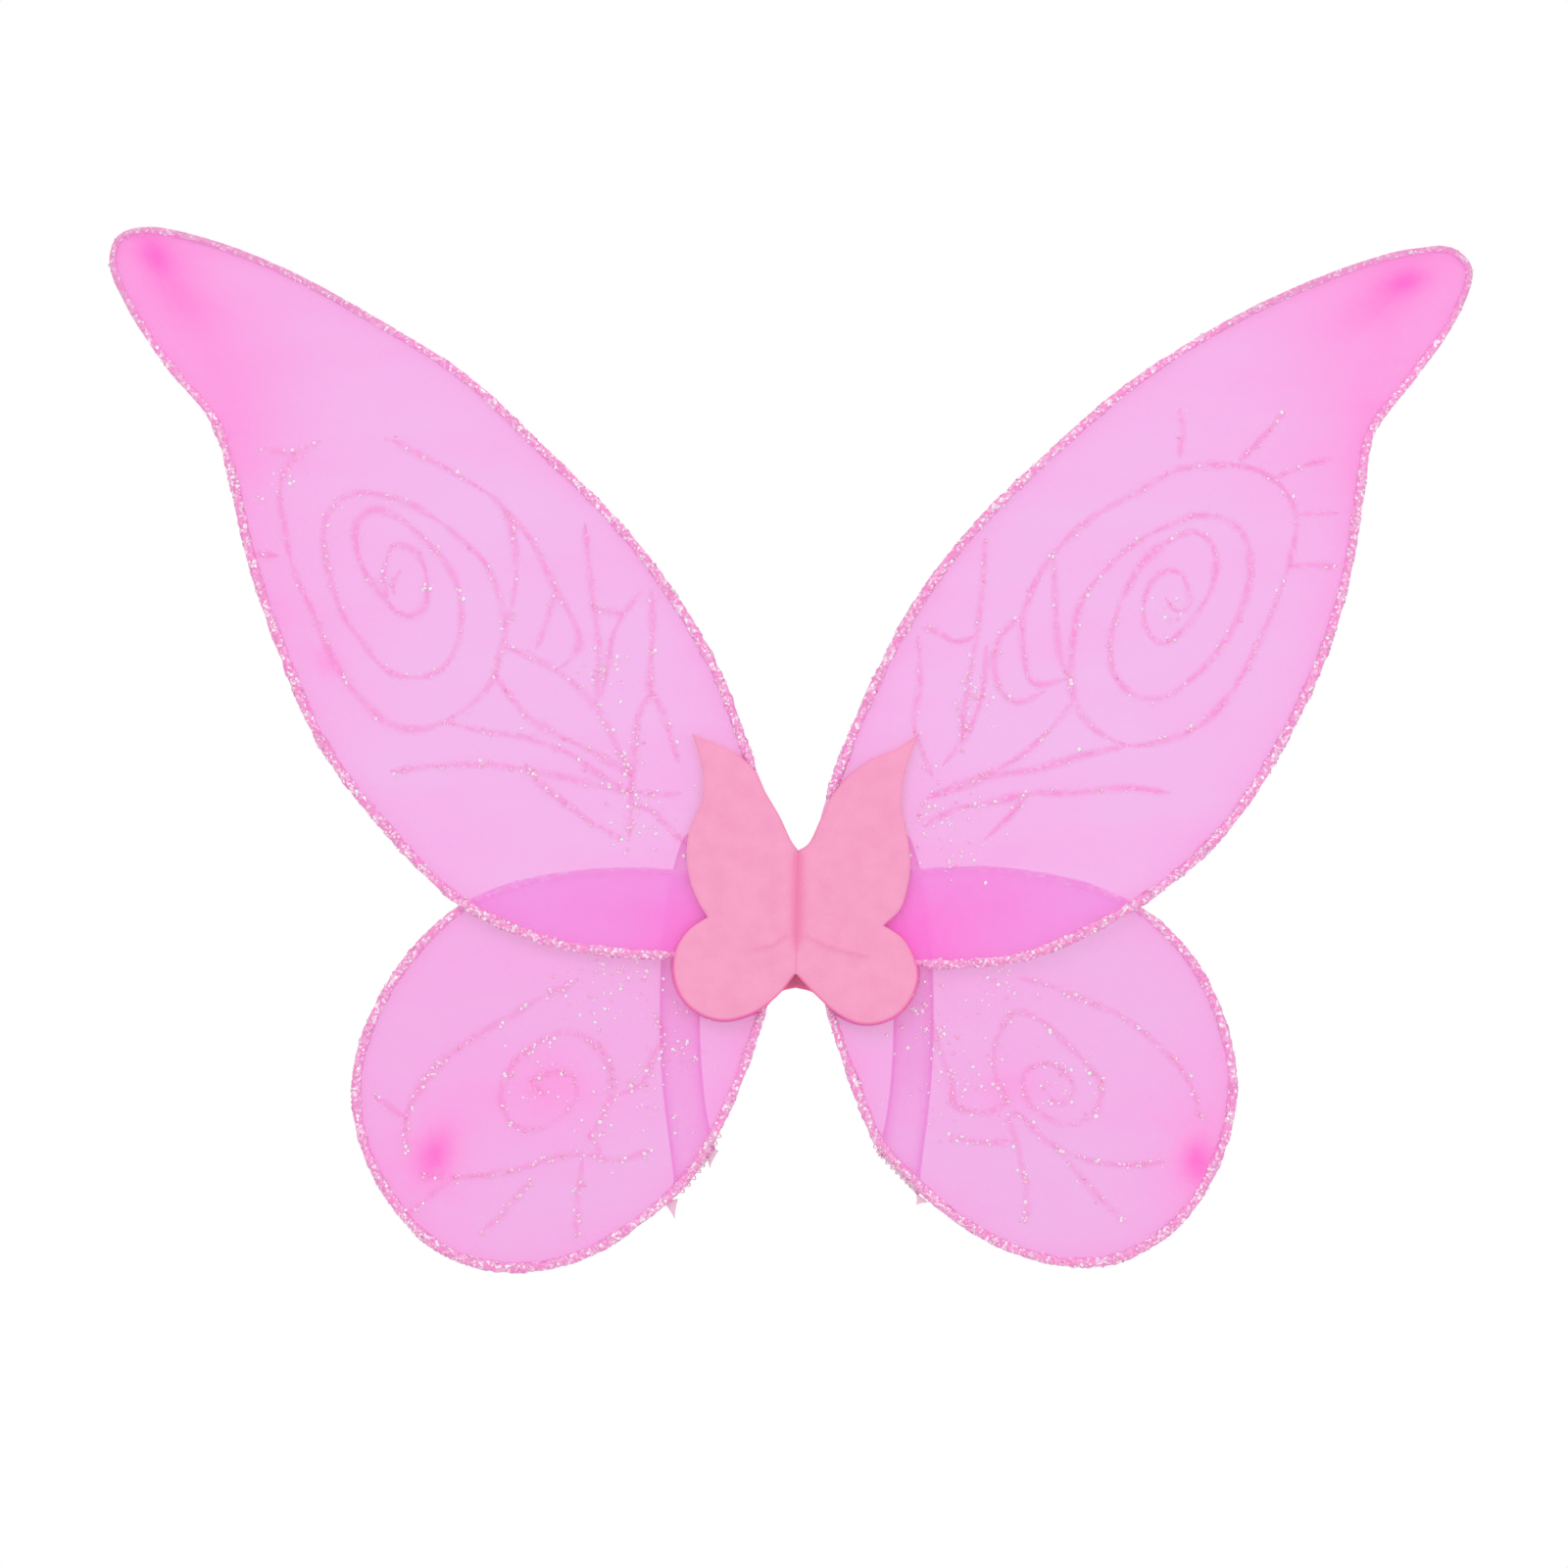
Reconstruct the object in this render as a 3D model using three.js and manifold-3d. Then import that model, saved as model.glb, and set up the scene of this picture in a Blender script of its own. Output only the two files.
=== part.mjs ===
// A child's fairy wings: four wire loops covered in nylon, on a soft butterfly patch with elastic arm loops.
// Millimetres. +Z is up, -Y is the decorated outer side and +Y is the wearer's side.
// The origin is on the rear face of the back patch's pad, where the wings meet the wearer's back.
// Each side is one body that folds about a vertical line through the roots of its wires.

import * as THREE from 'three';
import { mergeVertices } from 'three/addons/utils/BufferGeometryUtils.js';
import Module from 'manifold-3d';

const wasm = await Module();
wasm.setup();

// Stock
const WIRE_RADIUS = 1.0;
const SLEEVE_RADIUS = 1.3;
const PATCH_THICKNESS = 1.8;
const PAD_RISE = 0.6;
const NYLON_THICKNESS = 0.6;
const EDGE_BEAD_WIDTH = 3.4;
const EDGE_BEAD_HEIGHT = 1.0;
const SWIRL_WIDTH = 2.6;
const SWIRL_HEIGHT = 0.8;
const BEAD_TOP_SHARE = 0.56;
const STRAP_WIDTH = 15;
const STRAP_THICKNESS = 1.0;
const TACK_THICKNESS = 0.6;
const CLEARANCE = 0.3;
const LAYER_GAP = 0.4;
const NYLON_INSET = 1.4;

// Layers, from the wearer's back outwards
const LOWER_LAYER_Y = -(PATCH_THICKNESS + CLEARANCE + SLEEVE_RADIUS);
const UPPER_LAYER_Y = LOWER_LAYER_Y - 2 * WIRE_RADIUS - CLEARANCE - EDGE_BEAD_HEIGHT - LAYER_GAP;
const FRONT_PATCH_REAR_Y = UPPER_LAYER_Y - SLEEVE_RADIUS - CLEARANCE;

// Roots: the wires run down the fold line here, beside the binding
const ROOT_X = 6.5;
const BINDING_HALF_WIDTH = 2.9;
const BINDING_TOP_Z = 23;
const BINDING_BOTTOM_Z = -14;

// The wings cup a little towards the wearer outside the patch
const BOW_START_X = 45;
const BOW_END_X = 250;
const BOW_DEPTH = 10;

// Each wire loop is a hand-bent line of [x, z] points, from the top of its sleeve round to the bottom of it
const UPPER_SLEEVE = { top: 16, bottom: 4 };
const LOWER_SLEEVE = { top: 0, bottom: -10 };

const UPPER_LEFT_LOOP = [
  [-7, 25], [-10, 40], [-17, 58], [-29, 90], [-45, 118], [-65, 144], [-92, 171], [-121, 198],
  [-154, 219], [-187, 237], [-217, 248.5], [-238, 252.5], [-247.5, 249.5], [-250, 241], [-243, 224],
  [-228, 202], [-212.5, 183], [-206, 163], [-199, 133], [-189, 103], [-172, 64], [-149, 34],
  [-122.5, 8], [-93, -6], [-64, -11], [-40, -11.5], [-17, -9], [-9, -5.5],
];
const UPPER_RIGHT_LOOP = [
  [7, 25], [9.8, 38], [14.3, 52], [22, 72], [40, 109], [62, 140], [88.5, 166.5], [124, 197],
  [164, 221.5], [204.5, 239], [225, 244.5], [239, 245], [245.5, 238.5], [240.5, 222], [223, 197],
  [209.5, 179], [205.5, 158], [200.5, 127], [191, 96], [174.5, 62], [155.5, 34], [134.5, 14.5],
  [107.5, -2], [82, -12.5], [55, -15], [38, -14], [18, -10], [9, -5.5],
];
const LOWER_LEFT_LOOP = [
  [-7, 7], [-12, 12], [-22, 15.5], [-40, 17.5], [-59, 18.5], [-83.5, 17], [-105, 12.5], [-123.5, 4],
  [-141, -13], [-154, -34], [-160.5, -56], [-159, -77], [-149.5, -98.5], [-133.5, -116.5], [-115.5, -124.5],
  [-95, -125.5], [-75.5, -120], [-56, -107.5], [-40.5, -93.5], [-30, -76.5], [-21.5, -58], [-12.5, -32],
  [-7.5, -17],
];
const LOWER_RIGHT_LOOP = [
  [7, 7], [12, 12], [23, 16], [43, 18], [67, 19], [90, 16.5], [109.5, 11.5], [128, 2],
  [144, -14.5], [155, -37], [159, -61.5], [153, -87], [139.5, -108.5], [118.5, -122], [99.5, -124],
  [79, -119], [59, -108], [41.5, -93], [30, -80], [20.5, -57], [12, -32], [7.5, -17],
];

// Half outlines of the butterfly patch: inner top edge, outer edge and lower lobe, meeting in corners
const PATCH_TOP = [0.5, 26];
const PATCH_LEFT_HALF = [
  [PATCH_TOP, [-2, 29.5], [-6, 38], [-11.5, 47.5], [-16, 56], [-24, 62.5], [-38, 68.5]],
  [[-38, 68.5], [-35, 58.5], [-34, 50], [-35, 43], [-38.5, 35], [-40, 26], [-39, 16], [-36, 8], [-32.5, 2]],
  [[-32.5, 2], [-39, -2.5], [-43.5, -9], [-45, -16], [-43.5, -24], [-39.5, -30], [-33.5, -34],
    [-26.5, -35.5], [-19, -34], [-12.5, -31], [-6, -25.5]],
];
const PATCH_RIGHT_HALF = [
  [PATCH_TOP, [4.2, 28.5], [8.6, 37.5], [12.4, 45.5], [18.5, 53], [27.5, 59.5], [36, 63], [44.5, 68.5]],
  [[44.5, 68.5], [41, 60], [38.5, 50.5], [38, 43], [39.5, 34], [41, 24.5], [40.5, 15], [37.5, 5], [31.5, -1]],
  [[31.5, -1], [38, -5.5], [42, -11.5], [44, -18.5], [42, -26.5], [37, -33], [29.5, -36.5],
    [22, -36.5], [14.5, -33], [6.5, -26]],
];
const FRONT_PATCH_NOTCH = [-0.5, -18.5];
const BACK_PATCH_NOTCH = [-0.5, -24];

// The back patch is thicker over the binding: an oval pad between the strap ends
const PAD = { centreZ: 2, halfWidth: 17, halfHeight: 19 };

// The rim bead shows where the wire is clear of the patch: beyond this x, or above or below these heights
const BEAD_START_X = 47;
const UPPER_BEAD_START_Z = 55;
const LOWER_BEAD_START_Z = -30;

// Glitter-glue spirals: ellipses that grow as they turn, from `from` to `to` turns
const UPPER_RIGHT_SPIRAL = {
  centre: [138, 121.5], drift: [-1, -3], tilt: 56, flatness: 0.64, radii: [5.2, 6, 2.5],
  phase: 93, turning: 1, from: 0.25, to: 4,
};
const UPPER_LEFT_SPIRAL = {
  centre: [-143.5, 125], drift: [0, -2.5], tilt: 122, flatness: 0.66, radii: [5.2, 6, 2.5],
  phase: -93, turning: -1, from: 0.25, to: 4,
};
const LOWER_RIGHT_SPIRAL = {
  centre: [98, -60.5], drift: [-2.5, 0.4], tilt: 150, flatness: 0.69, radii: [-0.9, 12.2, -0.3],
  phase: 332, turning: 1, from: 0.25, to: 2.12,
};
const LOWER_LEFT_SPIRAL = {
  centre: [-93, -61], drift: [2.5, 0.4], tilt: 30, flatness: 0.69, radii: [-0.9, 12.2, -0.3],
  phase: -332, turning: -1, from: 0.25, to: 2.12,
};

// Glitter-glue veins: every stroke of a wing runs into the same hub near the root
const UPPER_RIGHT_VEINS = [
  [[49, 44], [61, 50.5], [74.5, 53], [104, 61], [123, 64]],
  [[49, 44], [57, 40], [70.5, 42.5], [97, 47], [113, 49], [128, 49], [137.5, 46.5]],
  [[49, 44], [53, 53], [60, 73], [57, 97], [48, 103]],
  [[49, 44], [58, 60], [73, 77], [84, 84], [95, 88]],
  [[49, 44], [48.5, 52], [43, 72], [44, 100]],
];
const UPPER_LEFT_VEINS = [
  [[-51, 42], [-62, 49], [-76.5, 57.5], [-95.5, 67], [-115, 69], [-129, 67.5]],
  [[-51, 42], [-62, 45.5], [-83.5, 53], [-98, 55.5], [-124, 57.5], [-147, 54.5]],
  [[-51, 42], [-60, 55], [-68, 70.5], [-77.5, 85], [-88.5, 92], [-103, 99]],
  [[-51, 42], [-58.5, 66], [-57, 75.5], [-53, 83], [-52.5, 105], [-53, 120]],
  [[-51, 42], [-65, 55], [-73.5, 80], [-71.5, 103], [-73.5, 121], [-76.5, 145]],
];
const LOWER_RIGHT_VEINS = [
  [[68, -24], [88, -23.5], [114, -32], [133, -45], [146, -62]],
  [[68, -24], [70, -45], [75, -65], [90, -78], [107, -86], [132, -88]],
  [[68, -24], [70, -40], [71.5, -52], [75, -66], [78, -78], [82, -91], [83.5, -109]],
];
const LOWER_LEFT_VEINS = [
  [[-66, -21], [-86.5, -26.5], [-108, -36], [-127.5, -49], [-140, -66]],
  [[-66, -21], [-62, -50], [-71.5, -76], [-91, -85], [-110, -90], [-121, -92.5]],
  [[-66, -21], [-66, -40], [-66, -52], [-69, -70], [-74, -84], [-80, -100], [-80, -113]],
];

// The right arm loop's centre line, [x, y, z]: from its tack on the back patch, out behind the wings,
// and down to the lower wing's wire, where its end lies behind the wire and is cut along it
const STRAP_ROUTE = [
  [29, 0.3, 9], [29, 0.3, 16], [29.3, 0.6, 22], [30, 3.2, 27.5], [31.5, 8.5, 31], [33.5, 14.5, 30.5],
  [36, 20, 25.5], [38.7, 24.5, 16], [41, 27.5, 3], [42.8, 29, -13], [43.4, 28.6, -31], [43.2, 25.5, -47],
  [42.2, 20, -60], [40.8, 13, -70.5], [39.3, 6.2, -78], [38.1, 1.2, -83.5], [37.5, -1.2, -86.8],
  [37.2, -1.55, -89], [37, -1.55, -92],
];
const STRAP_END = { x: 37, z: -92, slope: -1.06, slantedLength: 26 };
const UPPER_TACK = { x: 29, y: 0.3, z: 12.5, length: 6, turn: 0 };
const LOWER_TACK = { x: 37.1, y: -1.35, z: -90.6, length: 2.2, turn: 0.815 };
const TACK_WIDTH = 11;

// How finely the curves are cut
const WIRE_SIDES = 6;
const SLEEVE_SIDES = 10;
const BINDING_SIDES = 12;
const PAD_SIDES = 32;
const PATCH_STEPS_PER_POINT = 3;
const UPPER_LOOP_STEPS = 96;
const LOWER_LOOP_STEPS = 54;
const SLAB_COLUMNS = 44;
const SPIRAL_STEPS_PER_TURN = 16;
const VEIN_STEP_LENGTH = 9;
const STRAP_STEPS = 40;

const steel = new THREE.MeshStandardMaterial({ color: 0xb9bcc2, roughness: 0.35, metalness: 1 });
const nylon = new THREE.MeshStandardMaterial({ color: 0xf0b4eb, roughness: 0.55, metalness: 0 });
const glitter = new THREE.MeshStandardMaterial({ color: 0xf694d4, roughness: 0.3, metalness: 0 });
const foam = new THREE.MeshStandardMaterial({ color: 0xf4a0c8, roughness: 0.85, metalness: 0 });
const elastic = new THREE.MeshStandardMaterial({ color: 0xfbe9f3, roughness: 0.8, metalness: 0 });
const tape = new THREE.MeshStandardMaterial({ color: 0xd98aa6, roughness: 0.6, metalness: 0 });
const thread = new THREE.MeshStandardMaterial({ color: 0xf7c6dc, roughness: 0.7, metalness: 0 });

const wings = new THREE.Group();

function addPart(name, geometry, material) {
  geometry.computeVertexNormals();
  const mesh = new THREE.Mesh(geometry, material);
  mesh.name = name;
  wings.add(mesh);
}

// How far the wing surface stands towards the wearer at a given x
function bow(x) {
  const share = Math.max(0, (Math.abs(x) - BOW_START_X) / (BOW_END_X - BOW_START_X));
  return BOW_DEPTH * share * share;
}

// Points [x, z] on a wing, as a smooth 3-D line at depth y
function curveOnWing(points, y) {
  const control = points.map(([x, z]) => new THREE.Vector3(x, y, z));
  return new THREE.CatmullRomCurve3(control, false, 'centripetal');
}

function bowed(points) {
  return points.map((point) => new THREE.Vector3(point.x, point.y + bow(point.x), point.z));
}

// A closed solid from rings of points: side walls between the rings and a fan over each end
function closedSolid(rings) {
  const sides = rings[0].length;
  const positions = rings.flat().flatMap((point) => [point.x, point.y, point.z]);
  const faces = [];
  for (let ring = 0; ring < rings.length - 1; ring += 1) {
    for (let side = 0; side < sides; side += 1) {
      const a = ring * sides + side;
      const b = ring * sides + (side + 1) % sides;
      faces.push(a, b, b + sides, a, b + sides, a + sides);
    }
  }
  const last = (rings.length - 1) * sides;
  for (let side = 1; side < sides - 1; side += 1) {
    faces.push(0, side + 1, side);
    faces.push(last, last + side, last + side + 1);
  }
  if (signedVolume(positions, faces) < 0) {
    faces.reverse();
  }
  const geometry = new THREE.BufferGeometry();
  geometry.setAttribute('position', new THREE.Float32BufferAttribute(positions, 3));
  geometry.setIndex(faces);
  return geometry;
}

function signedVolume(positions, faces) {
  const corner = (index) => new THREE.Vector3().fromArray(positions, index * 3);
  let volume = 0;
  for (let face = 0; face < faces.length; face += 3) {
    const normal = corner(faces[face + 1]).cross(corner(faces[face + 2]));
    volume += corner(faces[face]).dot(normal) / 6;
  }
  return volume;
}

// Carries a section of [across, outwards] points along a line; `acrossHint` gives the width direction
function sweep(line, section, acrossHint) {
  const rings = line.map((point, index) => {
    const before = line[Math.max(index - 1, 0)];
    const after = line[Math.min(index + 1, line.length - 1)];
    const along = after.clone().sub(before).normalize();
    const hint = acrossHint(along);
    const across = hint.clone().addScaledVector(along, -hint.dot(along)).normalize();
    const outwards = across.clone().cross(along);
    return section.map(([u, v]) => point.clone().addScaledVector(across, u).addScaledVector(outwards, v));
  });
  return closedSolid(rings);
}

// On a wing the width lies in the wing's surface and outwards is -Y
function acrossWing(along) {
  return along.clone().cross(new THREE.Vector3(0, -1, 0));
}

function roundSection(radius, sides) {
  const corners = Array.from({ length: sides }, (_, side) => (side / sides) * 2 * Math.PI);
  return corners.map((angle) => [radius * Math.cos(angle), radius * Math.sin(angle)]);
}

// A bead of glue: flat underneath, narrower on top
function beadSection(width, height) {
  const half = width / 2;
  const top = half * BEAD_TOP_SHARE;
  return [[-half, 0], [half, 0], [top, height], [-top, height]];
}

function loopLine(wing) {
  const sign = Math.sign(wing.loop[0][0]);
  const top = [sign * ROOT_X, wing.sleeve.top + CLEARANCE];
  const bottom = [sign * ROOT_X, wing.sleeve.bottom - CLEARANCE];
  return curveOnWing([top, ...wing.loop, bottom], wing.layer);
}

function addWire(name, wing) {
  const line = bowed(loopLine(wing).getSpacedPoints(wing.steps));
  addPart(`${name}_wire`, sweep(line, roundSection(WIRE_RADIUS, WIRE_SIDES), acrossWing), steel);
}

function addSleeve(name, wing) {
  const length = wing.sleeve.top - wing.sleeve.bottom;
  const sleeve = new THREE.CylinderGeometry(SLEEVE_RADIUS, SLEEVE_RADIUS, length, SLEEVE_SIDES);
  sleeve.rotateX(Math.PI / 2);
  const x = Math.sign(wing.loop[0][0]) * ROOT_X;
  sleeve.translate(x, wing.layer, (wing.sleeve.top + wing.sleeve.bottom) / 2);
  addPart(`${name}_wire_sleeve`, sleeve, tape);
}

// The lowest and highest point of a closed outline on the vertical line at x
function spanAt(outline, x) {
  const heights = [];
  outline.forEach((a, index) => {
    const b = outline[(index + 1) % outline.length];
    if ((a.x - x) * (b.x - x) < 0) {
      heights.push(a.z + ((x - a.x) / (b.x - a.x)) * (b.z - a.z));
    }
  });
  return [Math.min(...heights), Math.max(...heights)];
}

// Moves every point of a closed outline inwards
function inset(outline, distance) {
  const area = THREE.ShapeUtils.area(outline.map((point) => new THREE.Vector2(point.x, point.z)));
  const inwards = Math.sign(area) * distance;
  return outline.map((point, index) => {
    const before = outline[(index + outline.length - 1) % outline.length];
    const after = outline[(index + 1) % outline.length];
    const along = after.clone().sub(before).normalize();
    return new THREE.Vector3(point.x - along.z * inwards, point.y, point.z + along.x * inwards);
  });
}

// The nylon fills the wire loop: upright columns of a thin section, closer together at the ends
function addNylon(name, wing) {
  const outline = inset(loopLine(wing).getSpacedPoints(wing.steps), WIRE_RADIUS + NYLON_INSET);
  const xs = outline.map((point) => point.x);
  const middle = (Math.min(...xs) + Math.max(...xs)) / 2;
  const reach = (Math.max(...xs) - Math.min(...xs)) / 2 - CLEARANCE;
  const half = NYLON_THICKNESS / 2;
  const rings = Array.from({ length: SLAB_COLUMNS + 1 }, (_, column) => {
    const x = middle - reach * Math.cos((Math.PI * column) / SLAB_COLUMNS);
    const y = wing.layer + bow(x);
    const [low, high] = spanAt(outline, x);
    return [[y - half, low], [y + half, low], [y + half, high], [y - half, high]].map(
      ([depth, height]) => new THREE.Vector3(x, depth, height),
    );
  });
  addPart(`${name}_nylon`, closedSolid(rings), nylon);
}

// The rim bead lies on the wire from where it leaves the patch to where it goes back under it
function addEdgeBead(name, wing) {
  const rearY = wing.layer - WIRE_RADIUS - CLEARANCE;
  const line = loopLine(wing).getSpacedPoints(wing.steps).filter(
    (point) => Math.abs(point.x) > BEAD_START_X || wing.beadShows(point.z),
  );
  const rim = bowed(line).map((point) => point.setY(point.y - wing.layer + rearY));
  const section = beadSection(EDGE_BEAD_WIDTH, EDGE_BEAD_HEIGHT);
  addPart(`${name}_edge_glitter`, sweep(rim, section, acrossWing), glitter);
}

function spiralPoints(spiral) {
  const steps = Math.round((spiral.to - spiral.from) * SPIRAL_STEPS_PER_TURN);
  const tilt = THREE.MathUtils.degToRad(spiral.tilt);
  return Array.from({ length: steps + 1 }, (_, step) => {
    const turn = spiral.from + ((spiral.to - spiral.from) * step) / steps;
    const radius = spiral.radii[0] + spiral.radii[1] * turn + spiral.radii[2] * turn * turn;
    const angle = THREE.MathUtils.degToRad(spiral.phase) + spiral.turning * 2 * Math.PI * turn;
    const u = radius * Math.cos(angle);
    const v = spiral.flatness * radius * Math.sin(angle);
    const x = spiral.centre[0] + spiral.drift[0] * turn + u * Math.cos(tilt) - v * Math.sin(tilt);
    const z = spiral.centre[1] + spiral.drift[1] * turn + u * Math.sin(tilt) + v * Math.cos(tilt);
    return [x, z];
  });
}

function decorationY(wing) {
  return wing.layer - NYLON_THICKNESS / 2 - CLEARANCE;
}

function toManifold(geometry) {
  const vertProperties = geometry.getAttribute('position').array;
  const triVerts = new Uint32Array(geometry.getIndex().array);
  return new wasm.Manifold(new wasm.Mesh({ numProp: 3, vertProperties, triVerts }));
}

function fromManifold(solid) {
  const joined = solid.getMesh();
  const geometry = new THREE.BufferGeometry();
  geometry.setAttribute('position', new THREE.BufferAttribute(joined.vertProperties, 3));
  geometry.setIndex(new THREE.BufferAttribute(joined.triVerts, 1));
  return geometry;
}

// The spiral and veins of a wing, joined where they meet
function addSwirls(name, wing) {
  const section = beadSection(SWIRL_WIDTH, SWIRL_HEIGHT);
  const y = decorationY(wing);
  const spiral = spiralPoints(wing.spiral).map(([x, z]) => new THREE.Vector3(x, y, z));
  const veins = wing.veins.map((points) => {
    const curve = curveOnWing(points, y);
    return curve.getSpacedPoints(Math.ceil(curve.getLength() / VEIN_STEP_LENGTH));
  });
  const strokes = [spiral, ...veins].map((line) => toManifold(sweep(bowed(line), section, acrossWing)));
  const joined = strokes.reduce((whole, stroke) => whole.add(stroke));
  addPart(`${name}_swirls`, fromManifold(joined), glitter);
}

// The butterfly outline, down its left half and back up its right half
function patchShape(notch) {
  const smooth = (points) => {
    const control = points.map(([x, z]) => new THREE.Vector3(x, z, 0));
    const curve = new THREE.CatmullRomCurve3(control, false, 'centripetal');
    return curve.getPoints(PATCH_STEPS_PER_POINT * points.length).slice(0, -1);
  };
  const halfEdges = ([top, side, lobe]) => [top, side, [...lobe, notch]].flatMap(smooth);
  const down = halfEdges(PATCH_LEFT_HALF);
  const up = halfEdges(PATCH_RIGHT_HALF).slice(1).reverse();
  const bottom = new THREE.Vector3(notch[0], notch[1], 0);
  return new THREE.Shape([...down, bottom, ...up].map((point) => new THREE.Vector2(point.x, point.y)));
}

// A flat sheet of foam from rearY outwards
function foamSheet(shape, rearY, thickness) {
  const sheet = new THREE.ExtrudeGeometry(shape, { depth: thickness, bevelEnabled: false, curveSegments: 1 });
  sheet.rotateX(Math.PI / 2);
  sheet.translate(0, rearY, 0);
  sheet.deleteAttribute('normal');
  sheet.deleteAttribute('uv');
  return mergeVertices(sheet);
}

function addFrontPatch() {
  addPart('front_patch', foamSheet(patchShape(FRONT_PATCH_NOTCH), FRONT_PATCH_REAR_Y, PATCH_THICKNESS), foam);
}

// The pad reaches the rear plane; the lobes beside it are thinner, and the strap ends lie on them
function addBackPatch() {
  const lobes = foamSheet(patchShape(BACK_PATCH_NOTCH), -PAD_RISE, PATCH_THICKNESS - PAD_RISE);
  const oval = new THREE.EllipseCurve(0, PAD.centreZ, PAD.halfWidth, PAD.halfHeight);
  const pad = foamSheet(new THREE.Shape(oval.getPoints(PAD_SIDES).slice(0, -1)), 0, PATCH_THICKNESS / 2);
  addPart('back_patch', fromManifold(toManifold(lobes).add(toManifold(pad))), foam);
}

// The taped bundle between the patches that the four roots are bound to
function addBinding() {
  const rearY = -PATCH_THICKNESS - 2 * CLEARANCE;
  const frontY = FRONT_PATCH_REAR_Y + 2 * CLEARANCE;
  const halfDepth = (rearY - frontY) / 2;
  const section = roundSection(1, BINDING_SIDES).map(([u, v]) => [u * BINDING_HALF_WIDTH, v * halfDepth]);
  const line = [BINDING_BOTTOM_Z, BINDING_TOP_Z].map((z) => new THREE.Vector3(0, (rearY + frontY) / 2, z));
  addPart('root_binding', sweep(line, section, () => new THREE.Vector3(1, 0, 0)), tape);
}

function addStrap(side, sign) {
  const control = STRAP_ROUTE.map(([x, y, z]) => new THREE.Vector3(sign * x, y, z));
  const line = new THREE.CatmullRomCurve3(control, false, 'centripetal').getSpacedPoints(STRAP_STEPS);
  const u = STRAP_WIDTH / 2;
  const v = STRAP_THICKNESS / 2;
  const section = [[-u, -v], [u, -v], [u, v], [-u, v]];
  const strap = slantEnd(sweep(line, section, () => new THREE.Vector3(1, 0, 0)), sign);
  addPart(`${side}_strap`, strap, elastic);
  addTack(`${side}_strap_upper_tack`, sign, UPPER_TACK);
  addTack(`${side}_strap_lower_tack`, sign, LOWER_TACK);
}

// Shears the lowest part of a strap, so that its end follows the slope of the wire
function slantEnd(strap, sign) {
  const place = strap.attributes.position;
  for (let index = 0; index < place.count; index += 1) {
    const z = place.getZ(index);
    const below = STRAP_END.z + STRAP_END.slantedLength - z;
    const share = Math.min(Math.max(below / STRAP_END.slantedLength, 0), 1);
    place.setZ(index, z + share * share * STRAP_END.slope * (sign * place.getX(index) - STRAP_END.x));
  }
  return strap;
}

function addTack(name, sign, place) {
  const tack = new THREE.BoxGeometry(TACK_WIDTH, TACK_THICKNESS, place.length);
  tack.rotateY(sign * place.turn);
  const rearY = place.y + STRAP_THICKNESS / 2;
  tack.translate(sign * place.x, rearY + CLEARANCE + TACK_THICKNESS / 2, place.z);
  addPart(name, tack, thread);
}

const WINGS = {
  upper_left: {
    layer: UPPER_LAYER_Y, loop: UPPER_LEFT_LOOP, sleeve: UPPER_SLEEVE, steps: UPPER_LOOP_STEPS,
    spiral: UPPER_LEFT_SPIRAL, veins: UPPER_LEFT_VEINS, beadShows: (z) => z > UPPER_BEAD_START_Z,
  },
  upper_right: {
    layer: UPPER_LAYER_Y, loop: UPPER_RIGHT_LOOP, sleeve: UPPER_SLEEVE, steps: UPPER_LOOP_STEPS,
    spiral: UPPER_RIGHT_SPIRAL, veins: UPPER_RIGHT_VEINS, beadShows: (z) => z > UPPER_BEAD_START_Z,
  },
  lower_left: {
    layer: LOWER_LAYER_Y, loop: LOWER_LEFT_LOOP, sleeve: LOWER_SLEEVE, steps: LOWER_LOOP_STEPS,
    spiral: LOWER_LEFT_SPIRAL, veins: LOWER_LEFT_VEINS, beadShows: (z) => z < LOWER_BEAD_START_Z,
  },
  lower_right: {
    layer: LOWER_LAYER_Y, loop: LOWER_RIGHT_LOOP, sleeve: LOWER_SLEEVE, steps: LOWER_LOOP_STEPS,
    spiral: LOWER_RIGHT_SPIRAL, veins: LOWER_RIGHT_VEINS, beadShows: (z) => z < LOWER_BEAD_START_Z,
  },
};

for (const [name, wing] of Object.entries(WINGS)) {
  addWire(name, wing);
  addSleeve(name, wing);
  addNylon(name, wing);
  addEdgeBead(name, wing);
  addSwirls(name, wing);
}
addFrontPatch();
addBackPatch();
addBinding();
addStrap('left', -1);
addStrap('right', 1);

export default wings;
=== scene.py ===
"""A child's fairy wings: nylon over wire loops, glitter glue, a foam patch and arm loops."""
import math

import bpy
import numpy as np
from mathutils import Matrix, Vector
from mathutils.geometry import delaunay_2d_cdt


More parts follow.
